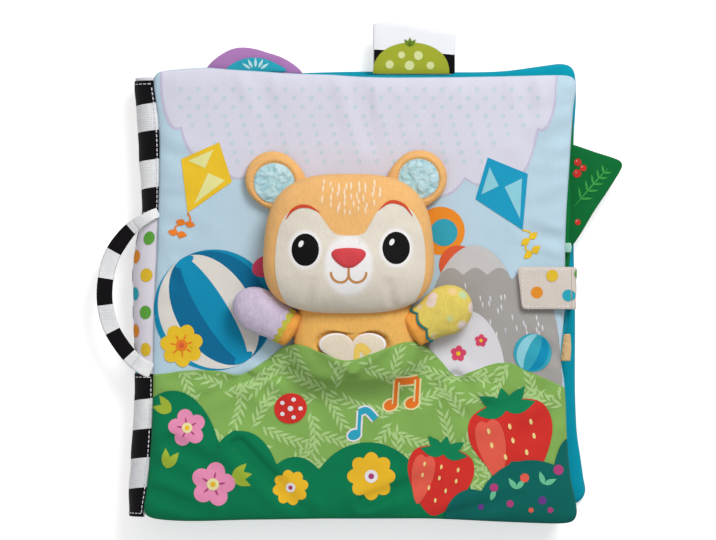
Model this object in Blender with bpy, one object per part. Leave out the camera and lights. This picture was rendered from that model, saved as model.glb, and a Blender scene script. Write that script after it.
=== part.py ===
"""A crinkle cloth book, closed and lying on its back cover: two puffy covers and three
leaves, each sewn of two faces over wadding and a crinkle film, a spine gusset with a
striped tape and its handle loop, a closing strap, sewn tabs and ribbon loops, and a
stuffed bear on the front cover with a press button behind its belly heart.

The origin is the centre of the back cover's flat outer face. +Z points out of the
front cover, +Y along the spine to the book's head, +X away from the spine."""

import math

import bmesh
import bpy
from mathutils import Matrix, Vector

# Covers and leaves
BOOK_LENGTH = 0.2790
BACK_WIDTH = 0.2654
FRONT_WIDTH = 0.2585
LEAF_WIDTH = 0.2560
FRONT_WAIST = 0.0045
BACK_WAIST = 0.0015
CORNER_RADIUS = 0.0065
COVER_THICK = 0.0080
LEAF_THICK = 0.0056
LEAF_COUNT = 3
STACK_GAP = 0.0004
COVER_CLOTH = 0.0009
LEAF_CLOTH = 0.0007
SEAM_CLOTH = 0.0008
SEAM_GAP = 0.0003
PUFF_RUN = 0.0130
LEAF_ROOT_STRIP = 0.0150
LEAF_SHORTER = 0.0012
FILM_THICK = 0.0004
CLEARANCE = 0.0003

# Spine
GUSSET_BULGE = 0.0115
GUSSET_CLOTH = 0.0015
GUSSET_SHORTER = 0.0030
TAPE_THICK = 0.0012
TAPE_WIDTH = 0.0115
HANDLE_WIDTH = 0.0100
HANDLE_THICK = 0.0020
HANDLE_REACH = 0.0325
HANDLE_SPAN = 0.0900
HANDLE_LEVEL = 0.0225
HANDLE_Y = 0.0015
HANDLE_SEAT = 0.0006
TAPE_TOP_MARGIN = 0.0050
TAPE_FOOT_MARGIN = 0.0020
TAPE_HANDLE_GAP = 0.0010

# Closing strap
STRAP_WIDTH = 0.0262
STRAP_THICK = 0.0028
STRAP_REACH = 0.0350
STRAP_Y = 0.0055
STRAP_INSET = 0.0035
STRAP_CORNER = 0.0030
PATCH_THICK = 0.0008
PATCH_LENGTH = 0.0130
PATCH_MARGIN = 0.0020
PATCH_FLAT = 0.0125

# Overlay sewn on the front cover
OVERLAY_CLOTH = 0.0014

# Bear
HEAD_WIDTH = 0.1040
HEAD_LENGTH = 0.0860
HEAD_HEIGHT = 0.0340
EAR_RADIUS = 0.0174
EAR_THICK = 0.0090
SATIN_RADIUS = 0.0124
SATIN_THICK = 0.0010
MUZZLE_WIDTH = 0.0660
MUZZLE_LENGTH = 0.0430
MUZZLE_RISE = 0.0020
NOSE_WIDTH = 0.0210
NOSE_LENGTH = 0.0120
NOSE_HEIGHT = 0.0060
TORSO_WIDTH = 0.0730
TORSO_LENGTH = 0.0600
TORSO_HEIGHT = 0.0185
SLEEVE_RADIUS = 0.0090
MITTEN_RADIUS = 0.0150
ARM_LENGTH = 0.0400
ARM_HEIGHT = 0.0165
ARM_LIFT = 0.0028
SHOULDER_GAP = 0.0005
HEART_WIDTH = 0.0415
HEART_LENGTH = 0.0255
HEART_THICK = 0.0030
HEART_POCKET_DEPTH = 0.0055
HEART_PROUD = 0.0010
HEART_GAP = 0.0006

# Sound module behind the belly heart
CASE_RADIUS = 0.0125
CASE_HEIGHT = 0.0082
CASE_WALL = 0.0010
CASE_ROOM = 0.0006
BUTTON_RADIUS = 0.0039
BUTTON_ROOM = 0.0004
BUTTON_TRAVEL = 0.0020
BOARD_THICK = 0.0008
BOARD_RADIUS = 0.0110
CELL_RADIUS = 0.0034
CELL_HEIGHT = 0.0022
CELL_RING = 0.0078
CELL_COUNT = 3
SPEAKER_RADIUS = 0.0100
SPEAKER_HEIGHT = 0.0018

# Tabs and ribbon loops
TAB_THICK = 0.0026
TAB_SEAT = 0.0003
TAB_SEAM_THICK = 0.0010
TAB_PUFF_RUN = 0.0030
DOME_WIDTH = 0.0610
DOME_HEIGHT = 0.0158
DOME_LINING_THICK = 0.0012
STRIPED_TAB_WIDTH = 0.0510
STRIPED_TAB_HEIGHT = 0.0315
STRIPED_TAB_CORNER = 0.0060
LEAF_TAB_LENGTH = 0.0630
LEAF_TAB_REACH = 0.0310
LEAF_TAB_CORNER = 0.0050
RIBBON_THICK = 0.0005
RIBBON_BEND = 0.0012
MINT_LOOP_WIDTH = 0.0058
MINT_LOOP_REACH = 0.0065
TAN_LOOP_WIDTH = 0.0168
TAN_LOOP_REACH = 0.0060

# Places, as shares of the front cover's width from the spine and its length from the foot
HEAD_PLACE_SHARES = (0.467, 0.618)
EAR_PLACE_SHARES = ((0.285, 0.766), (0.636, 0.764))
TORSO_PLACE_SHARES = (0.480, 0.420)
SHOULDER_PLACE_SHARES = ((0.334, 0.4265), (0.6186, 0.4262))
HEART_PLACE_SHARES = (0.4765, 0.3771)
NOSE_PLACE_SHARES = (0.4674, 0.5867)
MUZZLE_PLACE_SHARES = (0.4670, 0.5560)
DOME_PLACE_SHARE = 0.240
STRIPED_TAB_PLACE_SHARE = 0.625
LEAF_TAB_PLACE_SHARE = 0.725
MINT_LOOP_PLACE_SHARE = 0.610
TAN_LOOP_PLACE_SHARE = 0.387

# Shapes, as shares: puffed edge (share of its run, share of its rise), the overlay's top
# edge (shares of the cover's width and length), the arm's swell (share of its length,
# share of the mitten's radius) and the leaf tab's corners (shares of reach and length)
PUFF_SHARES = ((0.08, 0.10), (0.36, 0.66), (1.0, 1.0))
LINING_SHARES = ((0.20, 0.0), (0.52, 0.56), (1.06, 1.0))
WADDING_SHARES = ((0.70, 0.42), (1.15, 0.86))
FILM_INSET_SHARE = 1.25
OVERLAY_EDGE_SHARES = (
    (-0.02, 0.327), (0.085, 0.334), (0.205, 0.326), (0.325, 0.393), (0.355, 0.392),
    (0.500, 0.355), (0.610, 0.397), (0.650, 0.391), (0.690, 0.360), (0.730, 0.324),
    (0.850, 0.352), (0.880, 0.348), (0.925, 0.316), (1.03, 0.300),
)
CORNER_LEAST_SHARE = 0.2
HEAD_TAPER_SHARE = 0.10
HEAD_MIDDLE_SHARE = 0.45
MUZZLE_DEPTH_SHARE = 0.28
NOSE_SINK_SHARE = 0.25
NOSE_FLOOR_SHARE = 0.40
NOSE_TAPER_SHARE = -0.25
EAR_MIDDLE_SHARE = 0.40
EAR_FULL_SHARE = 0.80
TORSO_MIDDLE_SHARE = 0.25
HEAD_FULL_SHARE = 0.86
TORSO_FULL_SHARE = 0.80
LEAF_TAB_CORNER_SHARES = ((0.0, 0.50), (0.80, 0.34), (1.0, 0.22), (0.0, -0.50))
ARM_SWELL_SHARES = ((0.30, 0.63), (0.45, 0.78), (0.62, 0.95), (0.80, 1.0), (0.93, 0.78), (1.0, 0.40))
SLEEVE_BACK_ANGLES = (170, 150, 125, 105)
SLEEVE_MIDDLE_SHARE = 0.20
SLEEVE_END_SHARE = 0.38
ARM_ROUND_POWER = 0.6
ARM_SIDES = 16
DOME_FRONT_SHARES = (0.32, 0.50)
DOME_ANGLES = (math.radians(12), math.radians(168))
TAPE_ANGLE = 50
TAPE_MOST_ANGLE = 85
ARM_ANGLES = (math.radians(152), math.radians(30))

SIDE_STEPS = 5
CORNER_STEPS = 4
ROUND_STEPS = 24
OVERRUN = 0.0200

SPINE_X = -BACK_WIDTH / 2
BACK_SEAM_Z = COVER_THICK / 2
LEAF_PITCH = LEAF_THICK + STACK_GAP
LEAF_SEAM_Z = [COVER_THICK + STACK_GAP + LEAF_THICK / 2 + LEAF_PITCH * n for n in range(LEAF_COUNT)]
FRONT_SEAM_Z = COVER_THICK + STACK_GAP + LEAF_PITCH * LEAF_COUNT + COVER_THICK / 2
FRONT_TOP_Z = FRONT_SEAM_Z + COVER_THICK / 2
FRONT_FLOOR_Z = FRONT_TOP_Z + CLEARANCE
LEAF_ROOT_X = SPINE_X + LEAF_SHORTER
GUSSET_MIDDLE_Z = (BACK_SEAM_Z + FRONT_SEAM_Z) / 2
GUSSET_HALF = (FRONT_SEAM_Z - BACK_SEAM_Z) / 2


def clear_scene():
    for thing in list(bpy.data.objects):
        bpy.data.objects.remove(thing, do_unlink=True)
    for name in ("cloth_book", "cutters"):
        bpy.context.scene.collection.children.link(bpy.data.collections.new(name))


def material(name, colour, roughness=0.9, metallic=0.0):
    made = bpy.data.materials.get(name) or bpy.data.materials.new(name)
    made.use_nodes = True
    shader = made.node_tree.nodes["Principled BSDF"]
    shader.inputs["Base Color"].default_value = (*colour, 1.0)
    shader.inputs["Roughness"].default_value = roughness
    shader.inputs["Metallic"].default_value = metallic
    made.diffuse_color = (*colour, 1.0)
    return made


SKY = ("sky_cloth", (0.48, 0.63, 0.74))
TEAL = ("teal_cloth", (0.02, 0.35, 0.46))
GREEN = ("green_cloth", (0.01, 0.27, 0.10))
LEAFY = ("leaf_print_cloth", (0.27, 0.50, 0.10))
WHITE = ("dotted_white_cloth", (0.70, 0.71, 0.80))
TAPE = ("striped_webbing", (0.35, 0.34, 0.38))
TAN = ("bear_tan_plush", (0.88, 0.52, 0.20))
CREAM = ("bear_cream_plush", (0.74, 0.68, 0.58))
SATIN = ("blue_satin", (0.40, 0.66, 0.75), 0.35)
RED = ("red_velour", (0.66, 0.06, 0.07))
LILAC = ("lilac_cloth", (0.60, 0.48, 0.74))
YELLOW = ("yellow_cloth", (0.72, 0.66, 0.14))
ORANGE = ("orange_cloth", (0.90, 0.38, 0.04))
PURPLE = ("purple_cloth", (0.44, 0.20, 0.48))
MINT = ("mint_satin", (0.55, 0.82, 0.74), 0.35)
WADDING = ("polyester_wadding", (0.85, 0.85, 0.85))
FILM = ("crinkle_film", (0.80, 0.82, 0.84), 0.25)
HOOK = ("hook_and_loop", (0.80, 0.80, 0.80))
CASE = ("white_plastic", (0.85, 0.85, 0.83), 0.4)
BOARD = ("green_circuit_board", (0.02, 0.22, 0.06), 0.5)
STEEL = ("steel", (0.60, 0.60, 0.60), 0.3, 1.0)


def link(mesh, name, look, collection="cloth_book"):
    thing = bpy.data.objects.new(name, mesh)
    bpy.data.collections[collection].objects.link(thing)
    if collection == "cutters":
        thing.hide_render = True
        thing.display_type = "WIRE"
    else:
        mesh.materials.append(material(*look))
        mesh.shade_smooth()
        mesh.set_sharp_from_angle(angle=math.radians(35))
    return thing


def finish(bm, name, look, collection="cloth_book"):
    bmesh.ops.recalc_face_normals(bm, faces=bm.faces)
    mesh = bpy.data.meshes.new(name)
    bm.to_mesh(mesh)
    bm.free()
    return link(mesh, name, look, collection)


def loft(name, rings, look, collection="cloth_book"):
    """A closed body through rings of equally many points, capped at the first and last."""
    bm = bmesh.new()
    rows = [[bm.verts.new(point) for point in ring] for ring in rings]
    for low, high in zip(rows, rows[1:]):
        for i in range(len(low)):
            j = (i + 1) % len(low)
            bm.faces.new((low[i], low[j], high[j], high[i]))
    bm.faces.new(rows[0])
    bm.faces.new(rows[-1])
    return finish(bm, name, look, collection)


def prism(name, outline, low, high, look=None, collection="cloth_book"):
    """An upright slab between two heights."""
    return loft(name, [[(x, y, z) for x, y in outline] for z in (low, high)], look, collection)


def padded_tab(name, outline, level, thick, look):
    """A padded tab: thin at its sewn edge and puffed to its thickness inside it."""
    cx = sum(x for x, _ in outline) / len(outline)
    cy = sum(y for _, y in outline) / len(outline)
    drawn = []
    for x, y in outline:
        share = TAB_PUFF_RUN / math.hypot(cx - x, cy - y)
        drawn.append((x + (cx - x) * share, y + (cy - y) * share))
    seam = min(TAB_SEAM_THICK, thick) / 2
    rows = ((drawn, -thick / 2), (outline, -seam), (outline, seam), (drawn, thick / 2))
    return loft(name, [[(x, y, level + z) for x, y in row] for row, z in rows], look)


def bar(name, section, low, high, look):
    """A section in the XZ plane run along Y between two places."""
    return loft(name, [[(x, y, z) for x, z in section] for y in (low, high)], look)


def cut(thing, cutter, operation="DIFFERENCE"):
    """Cuts a body and keeps the result as its mesh."""
    step = thing.modifiers.new("cut", "BOOLEAN")
    step.operation = operation
    step.object = cutter
    bpy.context.view_layer.update()
    graph = bpy.context.evaluated_depsgraph_get()
    made = bpy.data.meshes.new_from_object(thing.evaluated_get(graph))
    thing.modifiers.clear()
    thing.data = made


def turn_origin(things, pivot):
    """Puts each object's origin on its joint's axis and leaves its shape where it is."""
    for thing in things:
        thing.data.transform(Matrix.Translation(-Vector(pivot)))
        thing.location = pivot


def arc(centre, radii, start, end, steps):
    angles = [start + (end - start) * i / steps for i in range(steps + 1)]
    return [(centre[0] + radii[0] * math.cos(a), centre[1] + radii[1] * math.sin(a)) for a in angles]


def panel_outline(width, length, waist, inset, strip=0.0, root=SPINE_X):
    """A cloth panel's outline, drawn in by an inset; strip holds the spine side back further."""
    left, right = root + inset + strip, SPINE_X + width - inset
    foot, head = inset - length / 2, length / 2 - inset
    corner = max(CORNER_RADIUS - inset, CORNER_RADIUS * CORNER_LEAST_SHARE)
    points = []
    for cx, cy, start in (
        (right - corner, foot + corner, -90),
        (right - corner, head - corner, 0),
        (left + corner, head - corner, 90),
        (left + corner, foot + corner, 180),
    ):
        points += arc((cx, cy), (corner, corner), math.radians(start), math.radians(start + 90), CORNER_STEPS)
        if start == -90:
            for i in range(1, SIDE_STEPS):
                share = i / SIDE_STEPS
                y = foot + corner + (head - foot - 2 * corner) * share
                points.append((right - waist * math.sin(math.pi * share), y))
    return points


def panel_ring(panel, inset_share, height, strip_share=1.0):
    inset = PUFF_RUN * inset_share
    outline = panel_outline(
        panel["width"], panel["length"], panel["waist"], inset,
        panel["strip"] * strip_share, panel["root"],
    )
    return [(x, y, height) for x, y in outline]


def half_shell(name, panel, side, look, raise_by=0.0, cloth=None, edge=None):
    """One cloth face of a panel: flat at its sewn edge, puffed up inside it."""
    cloth = panel["cloth"] if cloth is None else cloth
    edge = SEAM_CLOTH if edge is None else edge
    rise = panel["half"] - SEAM_GAP / 2 - SEAM_CLOTH
    base = panel["seam"]
    out = SEAM_GAP / 2 + raise_by
    rings = [panel_ring(panel, 0.0, base + side * (out + edge), 0.0)]
    for run, up in PUFF_SHARES:
        rings.append(panel_ring(panel, run, base + side * (out + edge + rise * up)))
    rings.reverse()
    rings.append(panel_ring(panel, 0.0, base + side * out, 0.0))
    inner = rise + edge - cloth
    for run, up in LINING_SHARES:
        rings.append(panel_ring(panel, run, base + side * (out + inner * up)))
    return loft(name, rings, look)


def overlay_shell(name, panel, look):
    """A second cloth layer over a panel's upper face, of one thickness all over."""
    rise = panel["half"] - SEAM_GAP / 2 - SEAM_CLOTH
    low = panel["seam"] + SEAM_GAP / 2 + SEAM_CLOTH + CLEARANCE
    under = [panel_ring(panel, 0.0, low, 0.0)]
    over = [panel_ring(panel, 0.0, low + OVERLAY_CLOTH, 0.0)]
    for run, up in PUFF_SHARES:
        under.append(panel_ring(panel, run, low + rise * up))
        over.append(panel_ring(panel, run, low + OVERLAY_CLOTH + rise * up))
    return loft(name, under[::-1] + over, look)


def filling(name, panel):
    """Wadding in the panel's room and the crinkle film on top of it."""
    room = panel["half"] - panel["cloth"] - CLEARANCE
    film_low = room - FILM_THICK
    top = film_low - CLEARANCE
    rings = []
    for run, share in reversed(WADDING_SHARES):
        rings.append(panel_ring(panel, run, panel["seam"] - room * share))
    for run, share in WADDING_SHARES:
        rings.append(panel_ring(panel, run, panel["seam"] + min(room * share, top)))
    loft(f"{name}_wadding", rings, WADDING)
    film = [
        panel_ring(panel, FILM_INSET_SHARE, panel["seam"] + z) for z in (film_low, room)
    ]
    loft(f"{name}_crinkle_film", film, FILM)


def back_cover():
    panel = {
        "width": BACK_WIDTH, "length": BOOK_LENGTH, "waist": BACK_WAIST, "seam": BACK_SEAM_Z,
        "half": COVER_THICK / 2, "cloth": COVER_CLOTH, "strip": 0.0, "root": SPINE_X,
    }
    half_shell("back_cover_face", panel, -1, TEAL)
    half_shell("back_cover_lining", panel, 1, TEAL)
    filling("back_cover", panel)


def leaf_panel(number):
    return {
        "width": LEAF_WIDTH, "length": BOOK_LENGTH - 2 * LEAF_SHORTER, "waist": FRONT_WAIST,
        "seam": LEAF_SEAM_Z[number], "half": LEAF_THICK / 2, "cloth": LEAF_CLOTH,
        "strip": LEAF_ROOT_STRIP, "root": LEAF_ROOT_X,
    }


def leaves():
    """The leaves from the back cover up, each thin where it is sewn in at the spine."""
    for number in range(LEAF_COUNT):
        name = f"leaf_{LEAF_COUNT - number}"
        panel = leaf_panel(number)
        half_shell(f"{name}_back_face", panel, -1, TEAL if number == 1 else GREEN)
        half_shell(f"{name}_front_face", panel, 1, GREEN if number == 1 else TEAL)
        filling(name, panel)


def leaf_edge_x(y):
    """The leaves' bowed fore-edge at a place along the book."""
    straight = BOOK_LENGTH - 2 * LEAF_SHORTER - 2 * CORNER_RADIUS
    share = min(max(y / straight + 0.5, 0.0), 1.0)
    return SPINE_X + LEAF_WIDTH - FRONT_WAIST * math.sin(math.pi * share)


def front_panel():
    return {
        "width": FRONT_WIDTH, "length": BOOK_LENGTH, "waist": FRONT_WAIST, "seam": FRONT_SEAM_Z,
        "half": COVER_THICK / 2, "cloth": COVER_CLOTH, "strip": 0.0, "root": SPINE_X,
    }


def front_place(shares):
    return (SPINE_X + FRONT_WIDTH * shares[0], BOOK_LENGTH * (shares[1] - 0.5))


def front_cover():
    panel = front_panel()
    half_shell("front_cover_lining", panel, -1, TEAL)
    half_shell("front_cover_face", panel, 1, SKY)
    filling("front_cover", panel)


def gusset_arc(offset, start, end, steps):
    """Places on the gusset's bulge in the XZ plane, offset outwards, by angle above the middle."""
    places = []
    for i in range(steps + 1):
        angle = math.radians(start + (end - start) * i / steps)
        out = (GUSSET_BULGE + offset) * math.cos(angle)
        up = (GUSSET_HALF - CLEARANCE + offset) * math.sin(angle)
        places.append((SPINE_X - 2 * CLEARANCE - out, GUSSET_MIDDLE_Z + up))
    return places


def spine():
    """The bulging gusset with its two runs of striped tape and the handle loop between them."""
    steps = 12
    section = gusset_arc(0.0, -90, 90, steps) + gusset_arc(-GUSSET_CLOTH, 90, -90, steps)
    half = BOOK_LENGTH / 2
    bar("spine_gusset", section, GUSSET_SHORTER - half, half - GUSSET_SHORTER, WHITE)
    radius = GUSSET_BULGE + CLEARANCE
    spread = math.degrees(TAPE_WIDTH / 2 / radius)
    low, high = TAPE_ANGLE - spread, min(TAPE_ANGLE + spread, TAPE_MOST_ANGLE)
    tape = gusset_arc(CLEARANCE, low, high, 6)
    tape += gusset_arc(CLEARANCE + TAPE_THICK, high, low, 6)
    root_x = handle_root_x()
    start = math.asin(min((SPINE_X - root_x) / HANDLE_REACH, 1.0))
    end_y = HANDLE_SPAN / 2 * math.cos(start) + HANDLE_WIDTH / 2 + TAPE_HANDLE_GAP
    bar("spine_tape_upper", tape, HANDLE_Y + end_y, half - TAPE_TOP_MARGIN, TAPE)
    bar("spine_tape_lower", tape, TAPE_FOOT_MARGIN - half, HANDLE_Y - end_y, TAPE)
    steps = 20
    inner, outer = [], []
    for i in range(steps + 1):
        angle = start + (math.pi - 2 * start) * i / steps
        for side, row in ((-1, inner), (1, outer)):
            reach = HANDLE_REACH + side * HANDLE_WIDTH / 2
            span = HANDLE_SPAN / 2 + side * HANDLE_WIDTH / 2
            x = min(SPINE_X - reach * math.sin(angle), root_x)
            row.append((x, HANDLE_Y + span * math.cos(angle)))
    loop = prism(
        "handle_loop", outer + inner[::-1],
        HANDLE_LEVEL - HANDLE_THICK / 2, HANDLE_LEVEL + HANDLE_THICK / 2, TAPE,
    )
    turn_origin([loop], (root_x, HANDLE_Y, HANDLE_LEVEL))


def handle_root_x():
    """Where the handle leaves the gusset, just clear of its bulge at the handle's level."""
    up = (HANDLE_LEVEL - HANDLE_THICK / 2 - GUSSET_MIDDLE_Z) / (GUSSET_HALF - CLEARANCE)
    return SPINE_X - 2 * CLEARANCE - GUSSET_BULGE * math.sqrt(1 - up * up) - HANDLE_SEAT


def strap():
    """The closing strap: a side that stands on the back cover and a flap over the front one."""
    outer = SPINE_X + BACK_WIDTH - STRAP_INSET
    low = COVER_THICK + CLEARANCE
    loop_low = FRONT_FLOOR_Z
    hook_low = loop_low + PATCH_THICK + CLEARANCE
    flap_low = hook_low + PATCH_THICK + CLEARANCE
    flap_high = flap_low + STRAP_THICK
    y0, y1 = STRAP_Y - STRAP_WIDTH / 2, STRAP_Y + STRAP_WIDTH / 2
    inner = outer - STRAP_THICK
    side = [(inner, low), (outer, low)]
    side += arc((outer - STRAP_CORNER, flap_high - STRAP_CORNER), (STRAP_CORNER, STRAP_CORNER), 0, math.pi / 2, 4)
    side += [(inner - CLEARANCE, flap_high), (inner - CLEARANCE, flap_low), (inner, flap_low)]
    side_piece = bar("strap_side", side, y0, y1, WHITE)
    turn_origin([side_piece], (outer, STRAP_Y, low))
    tip = outer - STRAP_REACH
    root = inner - 2 * CLEARANCE
    corner = STRAP_CORNER
    outline = [(root, y0), (root, y1)]
    outline += arc((tip + corner, y1 - corner), (corner, corner), math.pi / 2, math.pi, 4)
    outline += arc((tip + corner, y0 + corner), (corner, corner), math.pi, math.pi * 1.5, 4)
    flap = prism("strap_flap", outline, flap_low, flap_high, WHITE)
    patch_end = tip + PATCH_MARGIN + PATCH_LENGTH
    patch = [
        (tip + PATCH_MARGIN, y0 + PATCH_MARGIN), (patch_end, y0 + PATCH_MARGIN),
        (patch_end, y1 - PATCH_MARGIN), (tip + PATCH_MARGIN, y1 - PATCH_MARGIN),
    ]
    hook = prism("strap_hook_patch", patch, hook_low, hook_low + PATCH_THICK, HOOK)
    turn_origin([flap, hook], (root, STRAP_Y, flap_high))
    prism("cover_loop_patch", patch, loop_low, loop_low + PATCH_THICK, HOOK)


def plush(name, centre, radii, floor, look, full=1.0, taper=0.0, grow=0.0, collection="cloth_book"):
    """A stuffed form: a ball drawn out to three radii, fuller where full is under 1, narrower
    towards +Y by the taper's share, and cut flat at its floor."""
    bm = bmesh.new()
    bmesh.ops.create_uvsphere(bm, u_segments=ROUND_STEPS, v_segments=14, radius=1.0)
    for vert in bm.verts:
        x, y, z = (math.copysign(abs(value) ** full, value) for value in vert.co)
        x *= 1 - taper * y
        vert.co = [c + value * (r + grow) for c, value, r in zip(centre, (x, y, z), radii)]
    everything = bm.verts[:] + bm.edges[:] + bm.faces[:]
    sliced = bmesh.ops.bisect_plane(
        bm, geom=everything, plane_co=(0, 0, floor), plane_no=(0, 0, -1), clear_outer=True,
    )
    edges = [item for item in sliced["geom_cut"] if isinstance(item, bmesh.types.BMEdge)]
    bmesh.ops.holes_fill(bm, edges=edges, sides=0)
    bmesh.ops.remove_doubles(bm, verts=bm.verts, dist=CLEARANCE / 10)
    return finish(bm, name, look, collection)


def ring_outline(place, radii):
    return arc(place, radii, 0, math.tau * (1 - 1 / ROUND_STEPS), ROUND_STEPS - 1)


def cylinder(name, place, radius, low, high, look=None, collection="cloth_book"):
    return prism(name, ring_outline(place, (radius, radius)), low, high, look, collection)


def head_form(name, grow, floor, look, collection="cloth_book"):
    x, y = front_place(HEAD_PLACE_SHARES)
    low = FRONT_FLOOR_Z
    radii = (HEAD_WIDTH / 2, HEAD_LENGTH / 2, HEAD_HEIGHT * (1 - HEAD_MIDDLE_SHARE))
    centre = (x, y, low + HEAD_HEIGHT * HEAD_MIDDLE_SHARE)
    return plush(name, centre, radii, floor, look, HEAD_FULL_SHARE, HEAD_TAPER_SHARE, grow, collection)


def head():
    """The stuffed head with its muzzle and nose, between two ears with satin inners."""
    head_piece = head_form("bear_head", 0.0, FRONT_FLOOR_Z, TAN)
    top = FRONT_FLOOR_Z + HEAD_HEIGHT
    mx, my = front_place(MUZZLE_PLACE_SHARES)
    muzzle_radii = (MUZZLE_WIDTH / 2, MUZZLE_LENGTH / 2)
    seat_z = top - MUZZLE_RISE - HEAD_HEIGHT * MUZZLE_DEPTH_SHARE
    room = prism("muzzle_room", ring_outline((mx, my), muzzle_radii), seat_z, top + OVERRUN, None, "cutters")
    cut(head_piece, room)
    muzzle = head_form("bear_muzzle", MUZZLE_RISE, FRONT_FLOOR_Z, CREAM)
    fit_outline = ring_outline((mx, my), [r - CLEARANCE for r in muzzle_radii])
    fit = prism("muzzle_fit", fit_outline, seat_z + CLEARANCE, top + OVERRUN, None, "cutters")
    cut(muzzle, fit, "INTERSECT")
    nx, ny = front_place(NOSE_PLACE_SHARES)
    nose_z = top + MUZZLE_RISE - NOSE_HEIGHT * NOSE_SINK_SHARE
    nose = plush(
        "bear_nose", (nx, ny, nose_z), (NOSE_WIDTH / 2, NOSE_LENGTH / 2, NOSE_HEIGHT / 2),
        nose_z - NOSE_HEIGHT * NOSE_FLOOR_SHARE, RED, 1.0, NOSE_TAPER_SHARE,
    )
    seat = head_form("nose_seat", MUZZLE_RISE + CLEARANCE, FRONT_FLOOR_Z, None, "cutters")
    cut(nose, seat)
    keep_out = head_form("ear_cut", CLEARANCE, FRONT_FLOOR_Z - OVERRUN, None, "cutters")
    for side, shares in zip(("left", "right"), EAR_PLACE_SHARES):
        ex, ey = front_place(shares)
        low = FRONT_FLOOR_Z
        radii = (EAR_RADIUS, EAR_RADIUS, EAR_THICK * (1 - EAR_MIDDLE_SHARE))
        middle = (ex, ey, low + EAR_THICK * EAR_MIDDLE_SHARE)
        ear = plush(f"bear_ear_{side}", middle, radii, low, TAN, EAR_FULL_SHARE)
        cut(ear, keep_out)
        top_z = low + EAR_THICK + CLEARANCE
        satin = cylinder(f"ear_satin_{side}", (ex, ey), SATIN_RADIUS, top_z, top_z + SATIN_THICK, SATIN)
        cut(satin, keep_out)


def heart_outline(centre, width, length):
    """A heart drawn by sines: two lobes at the head side and a point at the foot side."""
    points = []
    for i in range(ROUND_STEPS):
        angle = math.tau * i / ROUND_STEPS
        x = math.sin(angle) ** 3
        y = (13 * math.cos(angle) - 5 * math.cos(2 * angle) - 2 * math.cos(3 * angle) - math.cos(4 * angle)) / 14.5 + 0.17
        points.append((centre[0] + x * width / 2, centre[1] + y * length / 2))
    return points[::-1]


def torso():
    """The stuffed belly with the heart's pocket on top and room for the sound module under it."""
    x, y = front_place(TORSO_PLACE_SHARES)
    low = FRONT_FLOOR_Z
    radii = (TORSO_WIDTH / 2, TORSO_LENGTH / 2, TORSO_HEIGHT * (1 - TORSO_MIDDLE_SHARE))
    centre = (x, y, low + TORSO_HEIGHT * TORSO_MIDDLE_SHARE)
    belly = plush("bear_torso", centre, radii, low, TAN, TORSO_FULL_SHARE)
    cut(belly, head_form("neck_cut", CLEARANCE, low - OVERRUN, None, "cutters"))
    for number, shares in enumerate(SHOULDER_PLACE_SHARES):
        socket = cylinder(
            f"shoulder_cut_{number}", front_place(shares), SLEEVE_RADIUS + SHOULDER_GAP,
            low - OVERRUN, low + OVERRUN * 2, None, "cutters",
        )
        cut(belly, socket)
    heart = front_place(HEART_PLACE_SHARES)
    top = low + TORSO_HEIGHT
    floor = top - HEART_POCKET_DEPTH
    pocket = heart_outline(heart, HEART_WIDTH + 2 * HEART_GAP, HEART_LENGTH + 2 * HEART_GAP)
    cut(belly, prism("heart_pocket", pocket, floor, top + OVERRUN, None, "cutters"))
    room_top = low + CASE_HEIGHT + CASE_ROOM
    room = cylinder("case_room", heart, CASE_RADIUS + CASE_ROOM, low - OVERRUN, room_top, None, "cutters")
    cut(belly, room)
    bore = cylinder(
        "button_bore", heart, BUTTON_RADIUS + BUTTON_ROOM, low - OVERRUN, top, None, "cutters",
    )
    cut(belly, bore)
    heart_low = top + HEART_PROUD - HEART_THICK
    patch = prism(
        "heart_patch", heart_outline(heart, HEART_WIDTH, HEART_LENGTH), heart_low, heart_low + HEART_THICK, CREAM,
    )
    sound_module(heart, heart_low, patch)


def sound_module(place, heart_low, patch):
    """A round case with board, speaker and button cells, and the button that the heart presses."""
    low = FRONT_FLOOR_Z
    high = low + CASE_HEIGHT
    case = cylinder("sound_case", place, CASE_RADIUS, low, high, CASE)
    inside = cylinder(
        "case_inside", place, CASE_RADIUS - CASE_WALL, low + CASE_WALL, high - CASE_WALL, None, "cutters",
    )
    cut(case, inside)
    mouth = cylinder(
        "case_mouth", place, BUTTON_RADIUS + BUTTON_ROOM, high - 2 * CASE_WALL, high + OVERRUN, None, "cutters",
    )
    cut(case, mouth)
    level = low + CASE_WALL + CLEARANCE
    cylinder("speaker", place, SPEAKER_RADIUS, level, level + SPEAKER_HEIGHT, STEEL)
    level += SPEAKER_HEIGHT + CLEARANCE
    cylinder("circuit_board", place, BOARD_RADIUS, level, level + BOARD_THICK, BOARD)
    level += BOARD_THICK + CLEARANCE
    for number in range(CELL_COUNT):
        angle = math.tau * number / CELL_COUNT + math.pi / 2
        spot = (place[0] + CELL_RING * math.cos(angle), place[1] + CELL_RING * math.sin(angle))
        cylinder(f"button_cell_{number + 1}", spot, CELL_RADIUS, level, level + CELL_HEIGHT, STEEL)
    stem_low = high - CASE_WALL + CLEARANCE
    plunger = cylinder("sound_button", place, BUTTON_RADIUS, stem_low, heart_low - CLEARANCE, RED)
    turn_origin([patch, plunger], (place[0], place[1], heart_low))


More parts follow.
